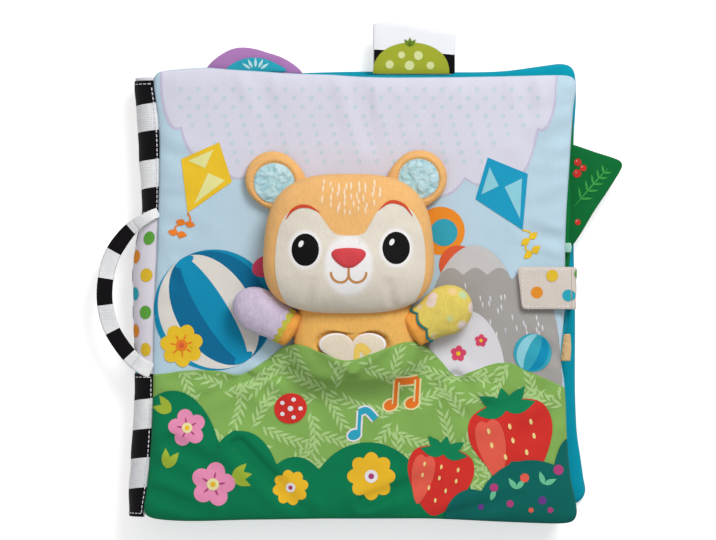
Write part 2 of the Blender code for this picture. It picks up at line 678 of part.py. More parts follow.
def arm(side, shoulder, angle, mitten_look):
    """A stuffed arm in two cloths: a sleeve rounded about the shoulder and a swollen mitten."""
    along = Vector((math.cos(angle), math.sin(angle), 0))
    across = Vector((-math.sin(angle), math.cos(angle), 0))
    centre_z = FRONT_FLOOR_Z + ARM_LIFT + ARM_HEIGHT / 2

    def ring(run, share):
        half = MITTEN_RADIUS * share
        points = []
        for i in range(ARM_SIDES):
            turn = math.tau * i / ARM_SIDES
            flat = across * half * math.cos(turn) + along * run
            points.append((
                shoulder[0] + flat.x, shoulder[1] + flat.y,
                centre_z + ARM_HEIGHT / 2 * share ** ARM_ROUND_POWER * math.sin(turn),
            ))
        return points

    def run_at(share):
        return ARM_LENGTH * share

    rings = []
    sleeve_share = SLEEVE_RADIUS / MITTEN_RADIUS
    for back in SLEEVE_BACK_ANGLES:
        turn = math.radians(back)
        rings.append(ring(SLEEVE_RADIUS * math.cos(turn), sleeve_share * math.sin(turn)))
    rings.append(ring(0.0, sleeve_share))
    table = [(0.0, sleeve_share), *ARM_SWELL_SHARES]

    def swell(share):
        for (a, ra), (b, rb) in zip(table, table[1:]):
            if share <= b:
                return ra + (rb - ra) * (share - a) / (b - a)
        return table[-1][1]

    gap_share = CLEARANCE / ARM_LENGTH
    for share in (SLEEVE_MIDDLE_SHARE, SLEEVE_END_SHARE):
        rings.append(ring(run_at(share), swell(share)))
    sleeve = loft(f"arm_{side}_sleeve", rings, ORANGE)
    rings = []
    shares = [SLEEVE_END_SHARE + gap_share] + [s for s, _ in ARM_SWELL_SHARES if s > SLEEVE_END_SHARE + gap_share]
    for share in shares:
        rings.append(ring(run_at(share), swell(share)))
    mitten = loft(f"arm_{side}_mitten", rings, mitten_look)
    keep_out = head_form(f"arm_cut_{side}", SHOULDER_GAP, FRONT_FLOOR_Z - OVERRUN, None, "cutters")
    cut(sleeve, keep_out)
    cut(mitten, keep_out)
    turn_origin([sleeve, mitten], (shoulder[0], shoulder[1], centre_z))


def overlay():
    """The meadow layer sewn over the front cover's lower part, notched round the belly."""
    piece = overlay_shell("meadow_overlay", front_panel(), LEAFY)
    region = [front_place(shares) for shares in OVERLAY_EDGE_SHARES]
    left, right = region[0][0], region[-1][0]
    foot = -BOOK_LENGTH / 2 - OVERRUN
    region = [(left, foot), *region, (right, foot)]
    cut(piece, prism("overlay_region", region, 0.0, FRONT_TOP_Z + OVERRUN, None, "cutters"), "INTERSECT")
    x, y = front_place(TORSO_PLACE_SHARES)
    notch_radii = (TORSO_WIDTH / 2 + 2 * CLEARANCE, TORSO_LENGTH / 2 + 2 * CLEARANCE)
    notch = []
    for i in range(ROUND_STEPS * 2):
        angle = math.tau * i / (ROUND_STEPS * 2)
        c, s = math.cos(angle), math.sin(angle)
        full = TORSO_FULL_SHARE
        notch.append((
            x + math.copysign(abs(c) ** full, c) * notch_radii[0],
            y + math.copysign(abs(s) ** full, s) * notch_radii[1],
        ))
    cut(piece, prism("belly_notch", notch, FRONT_SEAM_Z, FRONT_TOP_Z + OVERRUN, None, "cutters"))


def tabs():
    """Sewn tabs at the head edge and the fore-edge, each on the leaf that holds it."""
    head_y = BOOK_LENGTH / 2 - LEAF_SHORTER + TAB_SEAT
    x = SPINE_X + FRONT_WIDTH * DOME_PLACE_SHARE
    level = LEAF_SEAM_Z[2]
    dome = [(x - DOME_WIDTH / 2, head_y), (x + DOME_WIDTH / 2, head_y)]
    dome += arc((x, head_y), (DOME_WIDTH / 2, DOME_HEIGHT), *DOME_ANGLES, 12)
    flap = padded_tab("dome_flap", dome, level, TAB_THICK, PURPLE)
    small_y = head_y + TAB_PUFF_RUN
    reach, rise = DOME_WIDTH * DOME_FRONT_SHARES[0], DOME_HEIGHT * DOME_FRONT_SHARES[1]
    small = [(x - reach, small_y), (x + reach, small_y)]
    small += arc((x, small_y), (reach, rise), *DOME_ANGLES, 10)
    low = level + TAB_THICK / 2 + CLEARANCE
    lining = prism("dome_flap_front", small, low, low + DOME_LINING_THICK, TEAL)
    turn_origin([flap, lining], (x, head_y, level))
    x = SPINE_X + FRONT_WIDTH * STRIPED_TAB_PLACE_SHARE
    level = LEAF_SEAM_Z[1]
    half, corner = STRIPED_TAB_WIDTH / 2, STRIPED_TAB_CORNER
    top = head_y + STRIPED_TAB_HEIGHT
    tab = [(x - half, head_y), (x + half, head_y)]
    tab += arc((x + half - corner, top - corner), (corner, corner), 0, math.pi / 2, 4)
    tab += arc((x - half + corner, top - corner), (corner, corner), math.pi / 2, math.pi, 4)
    striped = padded_tab("striped_tab", tab, level, TAB_THICK, TAPE)
    turn_origin([striped], (x, head_y, level))
    y = BOOK_LENGTH * (LEAF_TAB_PLACE_SHARE - 0.5)
    edge_x = max(leaf_edge_x(y - LEAF_TAB_LENGTH / 2), leaf_edge_x(y + LEAF_TAB_LENGTH / 2)) + TAB_SEAT
    corners = [
        Vector((edge_x + LEAF_TAB_REACH * a, y + LEAF_TAB_LENGTH * b)) for a, b in LEAF_TAB_CORNER_SHARES
    ]
    outline = []
    for i, spot in enumerate(corners):
        before, after = corners[i - 1] - spot, corners[(i + 1) % len(corners)] - spot
        if spot.x == edge_x:
            outline.append(tuple(spot))
            continue
        first = spot + before.normalized() * LEAF_TAB_CORNER / 2
        last = spot + after.normalized() * LEAF_TAB_CORNER / 2
        for t in (0.0, 0.33, 0.67, 1.0):
            bend = first * (1 - t) ** 2 + spot * 2 * t * (1 - t) + last * t * t
            outline.append(tuple(bend))
    leaf_tab = padded_tab("leaf_tab", outline[::-1], level, TAB_THICK, GREEN)
    turn_origin([leaf_tab], (edge_x, y, level))


def ribbon_loops():
    """Two folded ribbons at the fore-edge, each a U in section."""
    for name, share, width, reach, level, look in (
        ("ribbon_loop_mint", MINT_LOOP_PLACE_SHARE, MINT_LOOP_WIDTH, MINT_LOOP_REACH, LEAF_SEAM_Z[2], MINT),
        ("ribbon_loop_tan", TAN_LOOP_PLACE_SHARE, TAN_LOOP_WIDTH, TAN_LOOP_REACH, LEAF_SEAM_Z[2], TAN),
    ):
        y = BOOK_LENGTH * (share - 0.5)
        root = max(leaf_edge_x(y - width / 2), leaf_edge_x(y + width / 2)) + TAB_SEAT
        bend_x = root + reach - RIBBON_BEND
        quarter = math.pi / 2
        outer = arc((bend_x, level), (RIBBON_BEND, RIBBON_BEND), -quarter, quarter, 6)
        thin = RIBBON_BEND - RIBBON_THICK
        inner = arc((bend_x, level), (thin, thin), quarter, -quarter, 6)
        section = [(root, level - RIBBON_BEND), *outer, (root, level + RIBBON_BEND)]
        section += [(root, level + thin), *inner, (root, level - thin)]
        bar(name, section, y - width / 2, y + width / 2, look)


def main():
    clear_scene()
    back_cover()
    leaves()
    front_cover()
    spine()
    strap()
    overlay()
    head()
    torso()
    looks = {"left": LILAC, "right": YELLOW}
    for side, shares, angle in zip(("left", "right"), SHOULDER_PLACE_SHARES, ARM_ANGLES):
        arm(side, front_place(shares), angle, looks[side])
    tabs()
    ribbon_loops()


main()
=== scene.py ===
"""A crinkle cloth book with a stuffed bear on its cover, dressed for a picture.

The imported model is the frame. Each operator makes one piece or one group of like pieces,
and the stage operator sets the floor, the lamps and the camera above the cover. Lengths
are in metres, with the origin at the middle of the back cover's outer face, +X away from
the spine and +Z out of the front cover."""

import functools
import math

import bmesh
import bpy
import numpy as np
from bpy.props import FloatProperty, FloatVectorProperty, IntProperty, PointerProperty
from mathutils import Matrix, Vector


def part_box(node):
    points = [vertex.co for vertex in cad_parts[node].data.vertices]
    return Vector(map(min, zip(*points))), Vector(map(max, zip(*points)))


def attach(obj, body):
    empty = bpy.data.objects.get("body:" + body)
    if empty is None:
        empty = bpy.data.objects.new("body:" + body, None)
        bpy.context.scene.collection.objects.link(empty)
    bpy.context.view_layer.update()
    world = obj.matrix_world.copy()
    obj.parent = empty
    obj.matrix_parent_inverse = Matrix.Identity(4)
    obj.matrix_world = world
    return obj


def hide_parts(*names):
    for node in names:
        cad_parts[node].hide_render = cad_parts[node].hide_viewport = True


bl_info = {
    "name": "Crinkle cloth book",
    "version": (1, 0, 0),
    "blender": (4, 5, 0),
    "location": "3D View > Sidebar > Cloth book",
    "description": "Dresses the packed cloth book with sewn, padded and printed cloth",
    "category": "Object",
}

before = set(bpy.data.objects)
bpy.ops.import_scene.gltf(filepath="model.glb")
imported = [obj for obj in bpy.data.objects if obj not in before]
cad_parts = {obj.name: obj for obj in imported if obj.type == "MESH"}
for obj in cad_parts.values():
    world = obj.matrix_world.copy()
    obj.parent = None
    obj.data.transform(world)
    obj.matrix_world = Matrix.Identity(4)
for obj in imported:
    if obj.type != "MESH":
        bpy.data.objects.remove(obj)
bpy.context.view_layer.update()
MM = 0.001

# The picture: its size and the book's origin in pixels, a pixel's length at the level that is
# seen true to size, and the camera's distance from that level
PICTURE = (716, 540)
ORIGIN_PIXEL = (368, 297)
PIXEL = 0.00062
SEEN_LEVEL = 0.034
CAMERA_REACH = 2.2
LAMPS = (
    ("key_lamp", (0.5, 0.85, 1.15), 0.6, 14.2), ("fill_lamp", (-0.9, -0.5, 1.3), 1.2, 3.0),
    ("top_lamp", (-0.2, 0.6, 1.8), 1.4, 3.0),
)
SKY_STRENGTH = 0.34
FLOOR_GLOW = 0.46


def hue(code):
    """Linear red, green and blue of a colour written as six hexadecimal digits."""
    parts = [int(code[i:i + 2], 16) / 255 for i in (0, 2, 4)]
    return tuple(p / 12.92 if p <= 0.04045 else ((p + 0.055) / 1.055) ** 2.4 for p in parts)


def colour_prop(name, code):
    return FloatVectorProperty(
        name=name, description=f"Colour of the {name.lower()}", default=hue(code),
        subtype="COLOR", min=0.0, max=1.0,
    )


def length_prop(name, description, default):
    return FloatProperty(
        name=name, description=description, default=default, min=0.0, unit="LENGTH", precision=5
    )


class ClothBookSizes(bpy.types.PropertyGroup):
    pucker: length_prop("Pucker", "Height of the puckers along the sewn edges", 0.0009)
    slack: length_prop("Slack", "Height of the broad waves in the padded cloth", 0.001)
    overlay_lift: length_prop("Meadow lift", "How far the meadow layer lies above the cover", 0.001)
    print_lift: length_prop("Print lift", "Thickness of one layer of print", 0.00013)
    weave: length_prop("Weave", "Distance from thread to thread", 0.00062)
    stitch: length_prop("Stitch", "Length of one stitch", 0.0026)
    sprigs: IntProperty(name="Sprigs", description="Leaf sprigs printed on the meadow", default=80, min=0)
    dots: IntProperty(name="Cloud dots", description="Rows of dots on the cloud", default=9, min=0)


class ClothBookColours(bpy.types.PropertyGroup):
    sky: colour_prop("Sky cloth", "BCD6E5")
    cloud: colour_prop("Cloud print", "D9D8E7")
    cloud_edge: colour_prop("Cloud edge", "C9C3DB")
    mint_dot: colour_prop("Mint dots", "C6D6DE")
    teal: colour_prop("Teal cloth", "009BB4")
    page_green: colour_prop("Green page cloth", "0A7A3A")
    meadow: colour_prop("Meadow cloth", "88B45A")
    sprig: colour_prop("Leaf sprigs", "B2D48C")
    hill: colour_prop("Hill print", "037C50")
    bush: colour_prop("Bush print", "08675F")
    white: colour_prop("White dotted cloth", "E6E0EA")
    tape_black: colour_prop("Black stripe", "0D090D")
    tape_white: colour_prop("White stripe", "F4F5FA")
    tan: colour_prop("Tan plush", "EFB874")
    cream: colour_prop("Cream plush", "E4DCCD")
    face_white: colour_prop("Soft white plush", "F2EFEF")
    satin: colour_prop("Pale blue satin", "9DD0DA")
    nose: colour_prop("Nose velour", "D6454C")
    lilac: colour_prop("Lilac plush", "CBBDD6")
    yellow: colour_prop("Yellow plush", "E2CF66")
    orange: colour_prop("Orange cloth", "EFA348")
    purple: colour_prop("Purple cloth", "B07CB8")
    mint: colour_prop("Mint ribbon", "A8DACB")
    tan_ribbon: colour_prop("Tan ribbon", "E3B97E")


def sizes():
    return bpy.context.scene.cloth_book_sizes


def colour(name):
    return tuple(getattr(bpy.context.scene.cloth_book_colours, name))


def eased(t):
    """Rises from 0 to 1 as three t squared less two t cubed."""
    t = np.clip(t, 0.0, 1.0)
    return t * t * (3 - 2 * t)


def corners(table, i, j, next_i, next_j, across, along):
    """The four corner values of a cell, blended by a share across and one along."""
    low = table[i, j] * (1 - across) + table[next_i, j] * across
    high = table[i, next_j] * (1 - across) + table[next_i, next_j] * across
    return low * (1 - along) + high * along


def waves(x, y, cell, seed):
    """Uneven waves between -1 and 1: a seeded table of numbers, one to a cell, eased between."""
    table = np.random.default_rng(seed).uniform(-1, 1, (64, 64))
    u, v = np.asarray(x) / cell[0], np.asarray(y) / cell[1]
    i, j = np.floor(u).astype(int), np.floor(v).astype(int)
    return corners(table, i % 64, j % 64, (i + 1) % 64, (j + 1) % 64, eased(u - i), eased(v - j))


def through(table, q):
    """A smooth curve through a table in millimetres: cubic between its points, in metres."""
    t = np.asarray(table, float) * MM
    xs, ys = t[:, 0], t[:, 1]
    slopes = np.gradient(ys, xs)
    q = np.clip(q, xs[0], xs[-1])
    k = np.clip(np.searchsorted(xs, q, side="right") - 1, 0, len(xs) - 2)
    h = xs[k + 1] - xs[k]
    u = (q - xs[k]) / h
    return (
        (1 + 2 * u) * (1 - u) ** 2 * ys[k] + u * (1 - u) ** 2 * h * slopes[k]
        + u * u * (3 - 2 * u) * ys[k + 1] + u * u * (u - 1) * h * slopes[k + 1]
    )


def rounded(corners, steps=6, closed=True):
    """A smooth outline through corners, as a cubic through each four that follow each other."""
    p = np.asarray(corners, float)
    if closed:
        p = np.concatenate([p[-1:], p, p[:2]])
    else:
        p = np.concatenate([2 * p[:1] - p[1:2], p, 2 * p[-1:] - p[-2:-1]])
    t = (np.arange(steps) / steps)[None, :, None]
    a, b, c, d = (p[i:len(p) - 3 + i, None, :] for i in range(4))
    made = 0.5 * (2 * b + (c - a) * t + (2 * a - 5 * b + 4 * c - d) * t**2 + (3 * b - a - 3 * c + d) * t**3)
    made = made.reshape(-1, p.shape[1])
    return made if closed else np.concatenate([made, p[-2:-1]])


# Meshes

SHARP = 60
WELD = 2e-6

class Sheaf:
    """Gathers grids of points and writes them into one mesh. Its place function lays prints and
    threads on a carrier, and its cloths are materials by name."""

    def __init__(self, place=None, cloths=None):
        self.place, self.cloths = place, cloths or {}
        self.points, self.faces, self.looks, self.count = [], [], [], 0

    def grid(self, points, wrap=False, look=0, flip=False):
        """A grid of rows and columns, each four neighbours making a face; wrap joins its last
        column to its first."""
        rows, columns = points.shape[:2]
        i = np.arange(rows - 1)[:, None]
        j = np.arange(columns if wrap else columns - 1)[None, :]
        a = i * columns + j
        b = i * columns + (j + 1) % columns
        faces = np.stack([a, b, b + columns, a + columns], -1).reshape(-1, 4) + self.count
        if isinstance(look, str):
            look = list(self.cloths).index(look)
        looks = np.broadcast_to(look, (rows - 1, j.shape[1])).reshape(-1)
        self.points.append(points.reshape(-1, 3))
        self.faces.append(faces[:, ::-1] if flip else faces)
        self.looks.append(looks)
        self.count += rows * columns

    def object(self, name, materials=None, turn=False, smooth_angle=None):
        """Writes the mesh, welds points that meet, closes the poles and links the object. Its edges
        are sharp where they turn by more than an angle in degrees, if one is given."""
        mesh = bpy.data.meshes.new(name)
        points, faces = np.concatenate(self.points), np.concatenate(self.faces)
        mesh.vertices.add(len(points))
        mesh.vertices.foreach_set("co", points.astype(np.float32).ravel())
        mesh.loops.add(len(faces) * 4)
        mesh.loops.foreach_set("vertex_index", faces.astype(np.int32).ravel())
        mesh.polygons.add(len(faces))
        mesh.polygons.foreach_set("loop_start", np.arange(0, len(faces) * 4, 4, dtype=np.int32))
        for look in materials or self.cloths.values():
            mesh.materials.append(look)
        mesh.polygons.foreach_set("material_index", np.concatenate(self.looks).astype(np.int32))
        mesh.update(calc_edges=True)
        bm = bmesh.new()
        bm.from_mesh(mesh)
        bmesh.ops.remove_doubles(bm, verts=bm.verts, dist=WELD)
        bmesh.ops.dissolve_degenerate(bm, edges=bm.edges, dist=1e-7)
        if turn:
            bmesh.ops.recalc_face_normals(bm, faces=bm.faces)
        bm.to_mesh(mesh)
        bm.free()
        mesh.shade_smooth()
        if smooth_angle:
            mesh.set_sharp_from_angle(angle=math.radians(smooth_angle))
        made = bpy.data.objects.new(name, mesh)
        bpy.context.scene.collection.objects.link(made)
        return made


RING = 0.0017


def patch(sheaf, outline, lift, look=0, step=RING, flip=True, rim=False):
    """A printed patch: rings drawn from an outline in to its middle, laid on a carrier. With rim,
    they follow a sine and so lie close together where the carrier turns down."""
    outline = np.asarray(outline, float)
    x, y = outline[:, 0], outline[:, 1]
    if (x * np.roll(y, -1) - y * np.roll(x, -1)).sum() < 0:
        outline = outline[::-1]
    sides = np.roll(outline, -1, 0) - outline
    counts = np.maximum(1, np.ceil(np.linalg.norm(sides, axis=1) / (1.6 * step)).astype(int))
    outline = np.concatenate([a + d * (np.arange(n) / n)[:, None] for a, d, n in zip(outline, sides, counts)])
    middle = (outline.min(0) + outline.max(0)) / 2
    rings = max(2, math.ceil(np.linalg.norm(outline - middle, axis=1).max() / step))
    share = np.arange(rings + 1) / rings
    share = (np.sin(share * math.pi / 2) if rim else share)[:, None, None]
    flat = middle + share * (outline - middle)[None]
    sheaf.grid(sheaf.place(flat[..., 0], flat[..., 1], lift), True, look, flip)


def band(sheaf, low, high, lift, look=0):
    """A printed area between a lower and an upper line of equally many points."""
    low, high = np.asarray(low, float), np.asarray(high, float)
    rows = max(1, math.ceil(np.linalg.norm(high - low, axis=1).max() / RING))
    share = (np.arange(rows + 1) / rows)[:, None, None]
    flat = low[None] + share * (high - low)[None]
    sheaf.grid(sheaf.place(flat[..., 0], flat[..., 1], lift), False, look)


def line(sheaf, points, width, lift, look=0, taper=False):
    """A printed line: a narrow band on both sides of a path, drawn to points where it tapers."""
    p = np.asarray(points, float)
    half = np.full(len(p), width / 2)
    if taper:
        half = half * np.sin(np.linspace(0.12, math.pi - 0.12, len(p)))
    off = normals(p) * half[:, None]
    band(sheaf, p - off, p + off, lift, look)


def around(count):
    """Angles evenly round a turn."""
    return np.arange(count) * math.tau / count


def quarter(t):
    """Rises from 0 to 1 as a quarter circle."""
    return np.sqrt(np.clip(1 - (1 - np.clip(t, 0, 1)) ** 2, 0, 1))


def squared(wave, power):
    """A sine or cosine drawn square by a power below one."""
    return np.sign(wave) * np.abs(wave) ** power


def normals(path):
    """Unit vectors to the left of a flat path."""
    run = np.gradient(path[:, :2], axis=0)
    return pair(-run[:, 1], run[:, 0]) / np.maximum(np.linalg.norm(run, axis=1), 1e-9)[:, None]


def pair(x, y):
    """Points across and along from two lists, or from a list and one value."""
    return np.stack(np.broadcast_arrays(x, y), -1)


def turned(points, centre, turn, size=1.0):
    """Points scaled, turned by an angle and moved to a centre."""
    p = np.atleast_2d(np.asarray(points, float)) * size
    c, s = math.cos(turn), math.sin(turn)
    return pair(centre[0] + p[:, 0] * c - p[:, 1] * s, centre[1] + p[:, 0] * s + p[:, 1] * c)


def oval(centre, radii, turn=0.0, count=32, power=1.0):
    """An oval's outline: cosine and sine, drawn square below a power of one, turned by an angle."""
    angle = around(count)
    return turned(
        pair(squared(np.cos(angle), power) * radii[0], squared(np.sin(angle), power) * radii[1]), centre, turn
    )


def disc(sheaf, centre, radius, lift, look=0, count=32, step=RING):
    """A printed circle."""
    patch(sheaf, oval(centre, (radius, radius), 0, count), lift, look, step)


def blade(root, turn, length, width, count=16):
    """A leaf's outline: its half width follows a sine along its length."""
    t = np.linspace(0, 1, count // 2 + 1)
    half = np.sin(math.pi * t**0.8) * width / 2
    x = np.concatenate([t, t[-2:0:-1]]) * length
    y = np.concatenate([-half, half[-2:0:-1]])
    return turned(pair(x, y), root, turn)


def stitches(sheaf, path, length, gap, width=0.0005, flip=True):
    """Raised threads along a path, each a small ridge whose height follows a sine along and
    across it."""
    p = np.asarray(path, float)
    steps = np.linalg.norm(np.diff(p, axis=0), axis=1)
    run = np.concatenate([[0], np.cumsum(steps)])
    starts = np.arange(gap / 2, run[-1] - length, length + gap)
    if not len(starts):
        return
    along = np.linspace(0, 1, 5)
    across = np.linspace(-1, 1, 4)
    at = starts[:, None] + along[None] * length
    x, y = np.interp(at, run, p[:, 0]), np.interp(at, run, p[:, 1])
    tx = np.interp(at + 1e-4, run, p[:, 0]) - np.interp(at - 1e-4, run, p[:, 0])
    ty = np.interp(at + 1e-4, run, p[:, 1]) - np.interp(at - 1e-4, run, p[:, 1])
    size = np.maximum(np.hypot(tx, ty), 1e-12)
    nx, ny = -ty / size, tx / size
    off = across[None] * width / 2
    high = width * 0.45 * np.sin(math.pi * (0.08 + 0.84 * along))[:, None] * np.cos(across * 1.5)[None]
    for px, py, ox, oy in zip(*(values[..., None] for values in (x, y, nx, ny))):
        sheaf.grid(sheaf.place(px + ox * off, py + oy * off, high), flip=flip)


class Carrier:
    """Anything with a top that prints and threads lie on."""

    def place(self, x, y, lift):
        return np.stack([x, y, self.top(x, y) + lift], -1)


class Panel(Carrier):
    """A sewn panel. Its outline runs through four tables, of a place across against a place along,
    and its corners are rounded by a power sum. Its relief is a quarter circle at the edge, then
    puckers that run in from the seams, over the length FADE, and broad slack waves."""

    HALF, FADE, PUCKER = (0.13, 0.138), 0.016, (0.045, 0.0062)

    def __init__(self, left, right, foot, head, seam, rise, drop, run=0.013, seed=1, square=44.0, calm=1.0):
        self.left, self.right, self.foot, self.head = left, right, foot, head
        self.seam, self.rise, self.drop, self.run = seam, rise, drop, run
        self.seed, self.square, self.calm = seed, square, calm
        self.half = min(right[0][1] - left[0][1], head[0][1] - foot[0][1]) * MM / 2
        self.extra, self.least = None, 0.0

    def edges(self, x, y):
        """The four sides' places: left and right at a place along, foot and head at one across."""
        return through(self.left, y), through(self.right, y), through(self.foot, x), through(self.head, x)

    def shares(self, x, y):
        """Places across and along as shares from -1 to 1."""
        low, high, foot, head = self.edges(x, y)
        return 2 * (x - low) / (high - low) - 1, 2 * (y - foot) / (head - foot) - 1

    def spot(self, s, t):
        """The place of grid shares: the square is drawn to its rounded form, then fitted to the
        four sides."""
        most = np.maximum(np.abs(s), np.abs(t))
        total = (np.abs(s) ** self.square + np.abs(t) ** self.square) ** (1 / self.square)
        k = most / np.maximum(total, 1e-9)
        a, b = s * k, t * k
        x, y = np.zeros_like(a), np.zeros_like(b)
        for _ in range(8):
            low, high, foot, head = self.edges(x, y)
            x, y = low + (a + 1) / 2 * (high - low), foot + (b + 1) / 2 * (head - foot)
        return x, y

    def puff(self, x, y):
        a, b = self.shares(x, y)
        total = (np.abs(a) ** self.square + np.abs(b) ** self.square) ** (1 / self.square)
        depth = np.clip(1 - total, 0, 1) * self.half
        return quarter(depth / self.run), a, b

    def relief(self, x, y, seed, height):
        puff, a, b = self.puff(x, y)
        side = np.exp(-(1 - np.abs(a)) * self.HALF[0] / self.FADE)
        end = np.exp(-(1 - np.abs(b)) * self.HALF[1] / self.FADE)
        s = sizes()
        cell = self.PUCKER
        pucker = side * waves(x, y, cell, seed) + end * waves(x, y, cell[::-1], seed + 1)
        slack = waves(x, y, (0.036, 0.03), seed + 2) + 0.35 * waves(x + y, x - y, (0.014, 0.021), seed + 3)
        return puff * (height + self.calm * (s.pucker * pucker + s.slack * 0.6 * slack))

    def top(self, x, y):
        """The upper face; its folds run out softly above what lies inside."""
        up = self.relief(x, y, self.seed, self.rise)
        if self.extra is not None:
            puff = self.puff(x, y)[0]
            spare = up + self.extra(x, y) - self.least * puff
            up = self.least * puff + (spare + np.hypot(spare, 0.0004 * puff)) / 2
        return self.seam + up

    def under(self, x, y):
        return self.seam - self.relief(x, y, self.seed + 7, self.drop)

    def object(self, name, materials, across, along):
        """Its upper and lower faces, welded round the seam."""
        u = np.linspace(-1, 1, across)
        v = np.linspace(-1, 1, along)
        u, v = 0.6 * u + 0.4 * np.sin(u * math.pi / 2), 0.6 * v + 0.4 * np.sin(v * math.pi / 2)
        s, t = np.meshgrid(u, v)
        x, y = self.spot(s, t)
        sheaf = Sheaf()
        sheaf.grid(np.stack([x, y, self.top(x, y)], -1), look=0)
        sheaf.grid(np.stack([x, y, self.under(x, y)], -1), look=1, flip=True)
        return sheaf.object(name, materials)


class Stuffed(Carrier):
    """A stuffed form: its outline is a reach at each angle round its middle, and from the outline
    its height rises and falls as a power of the sine of a turn from rim to crown."""

    def __init__(self, centre, outline, middle, up, down, floor=-1.0, full=(0.75, 0.85), extra=None):
        rel = np.asarray(outline, float) - np.asarray(centre, float)
        angle = np.arctan2(rel[:, 1], rel[:, 0])
        order = np.argsort(angle)
        self.centre = centre
        self.angles, self.reaches = angle[order], np.hypot(rel[:, 0], rel[:, 1])[order]
        self.middle, self.up, self.down, self.floor = middle, up, down, floor
        self.full, self.extra = full, extra

    def reach(self, angle):
        return np.interp(angle, self.angles, self.reaches, period=math.tau)

    def share(self, x, y):
        dx, dy = x - self.centre[0], y - self.centre[1]
        return np.hypot(dx, dy) / self.reach(np.arctan2(dy, dx))

    def top(self, x, y):
        rho = np.clip(self.share(x, y), 0, 1)
        sine = np.sqrt(np.clip(1 - rho ** (2 / self.full[0]), 0, 1))
        up = self.middle + self.up * sine ** self.full[1]
        return up if self.extra is None else up + eased(sine * 2) * self.extra(x, y)

    def object(self, name, materials, columns=128, rows=56):
        turn = np.linspace(-math.pi / 2, math.pi / 2, rows)[:, None]
        angle = around(columns)[None]
        rho = np.cos(turn) ** self.full[0]
        rho[0] = rho[-1] = 0.0
        x = self.centre[0] + rho * self.reach(angle) * np.cos(angle)
        y = self.centre[1] + rho * self.reach(angle) * np.sin(angle)
        low = self.middle - self.down * np.abs(np.sin(turn)) ** self.full[1] + 0 * angle
        z = np.where(turn > 0, self.top(x, y), np.maximum(low, self.floor))
        sheaf = Sheaf()
        sheaf.grid(np.stack([x, y, z], -1), wrap=True)
        return sheaf.object(name, materials)


def ends(s, low, high, near, far):
    """One, but falling to nothing as a quarter circle over a length at each end."""
    return quarter(np.minimum((s - low) / near, (high - s) / far))


def tube(sheaf, path, wide, high, columns, wobble, seed, shift=0.0):
    """A limb: ovals across a flat path, closed at both ends where their radii come to nothing.
    Each place is pushed back along the path by a table of shifts."""
    side = normals(path)
    angle = around(columns)
    c, s = np.cos(angle)[None], np.sin(angle)[None]
    rough = 1 + wobble * waves(
        np.arange(len(path))[:, None] / 4.0 + 0 * c, 2.2 * c + 5 * s + 0 * wide[:, None], (1, 1), seed
    )
    x = path[:, 0, None] + side[:, 0, None] * wide[:, None] * c * rough - side[:, 1, None] * shift
    y = path[:, 1, None] + side[:, 1, None] * wide[:, None] * c * rough + side[:, 0, None] * shift
    z = path[:, 2, None] + high[:, None] * s * rough
    sheaf.grid(np.stack([x, y, z], -1), wrap=True)


# Materials

ROUGH_CLOTH = 0.6


class Nodes:
    """Short calls for a material's nodes."""

    def __init__(self, name="", made=None):
        self.material = made or bpy.data.materials.new(name)
        self.material.use_nodes = True
        self.tree = self.material.node_tree
        self.shader = self.tree.nodes["Principled BSDF"]

    def add(self, kind, inputs=None, **settings):
        node = self.tree.nodes.new(kind)
        for key, value in settings.items():
            setattr(node, key, value)
        for key, value in (inputs or {}).items():
            socket = node.inputs[key]
            if isinstance(value, bpy.types.NodeSocket):
                self.tree.links.new(value, socket)
            else:
                socket.default_value = value
        return node

    def where(self, scale=(1, 1, 1), turn=(0, 0, 0), shift=(0, 0, 0)):
        coordinate = self.add("ShaderNodeTexCoord")
        return self.add(
            "ShaderNodeMapping",
            {"Vector": coordinate.outputs["Object"], "Scale": scale, "Rotation": turn, "Location": shift},
        ).outputs["Vector"]

    def noise(self, scale, detail=3.0, vector=None, rough=0.55, distortion=0.0):
        return self.add("ShaderNodeTexNoise", {
            "Vector": vector or self.where(), "Scale": scale, "Detail": detail, "Roughness": rough,
            "Distortion": distortion,
        }).outputs["Fac"]

    def threads(self, pitch, direction, vector=None):
        """Bands a pitch apart."""
        return self.add("ShaderNodeTexWave", {
            "Vector": vector or self.where(), "Scale": math.tau / (20 * pitch), "Distortion": 1.2,
            "Detail": 1.0,
            "Detail Scale": 0.4,
        }, wave_type="BANDS", bands_direction=direction).outputs["Fac"]

    def maths(self, operation, a, b):
        return self.add("ShaderNodeMath", {0: a, 1: b}, operation=operation).outputs[0]

    def blend(self, share, a, b):
        return self.add("ShaderNodeMix", {0: share, 6: a, 7: b}, data_type="RGBA").outputs[2]

    def ramp(self, share, low, high, most=1.0, kind="LINEAR"):
        limits = {"Value": share, "From Min": low, "From Max": high, "To Max": most}
        return self.add("ShaderNodeMapRange", limits, interpolation_type=kind).outputs[0]

    def over(self, share, tint):
        """Lays a tint over the base colour by a share."""
        base = self.shader.inputs["Base Color"]
        self.tree.links.new(self.blend(share, base.links[0].from_socket, tint), base)
        return self.material

    def finish(self, tint, height, depth, rough, sheen=0.0, strength=0.6, **others):
        self.tree.links.new(tint, self.shader.inputs["Base Color"])
        if height is not None:
            bump = self.add("ShaderNodeBump", {"Height": height, "Distance": depth, "Strength": strength})
            self.tree.links.new(bump.outputs["Normal"], self.shader.inputs["Normal"])
        given = {
            "Roughness": rough, "Sheen Weight": sheen, "Sheen Roughness": 0.5,
            "Specular IOR Level": 0.15 if rough > ROUGH_CLOTH else 0.5,
        }
        for key, value in {**given, **others}.items():
            self.shader.inputs[key].default_value = value
        return self.material


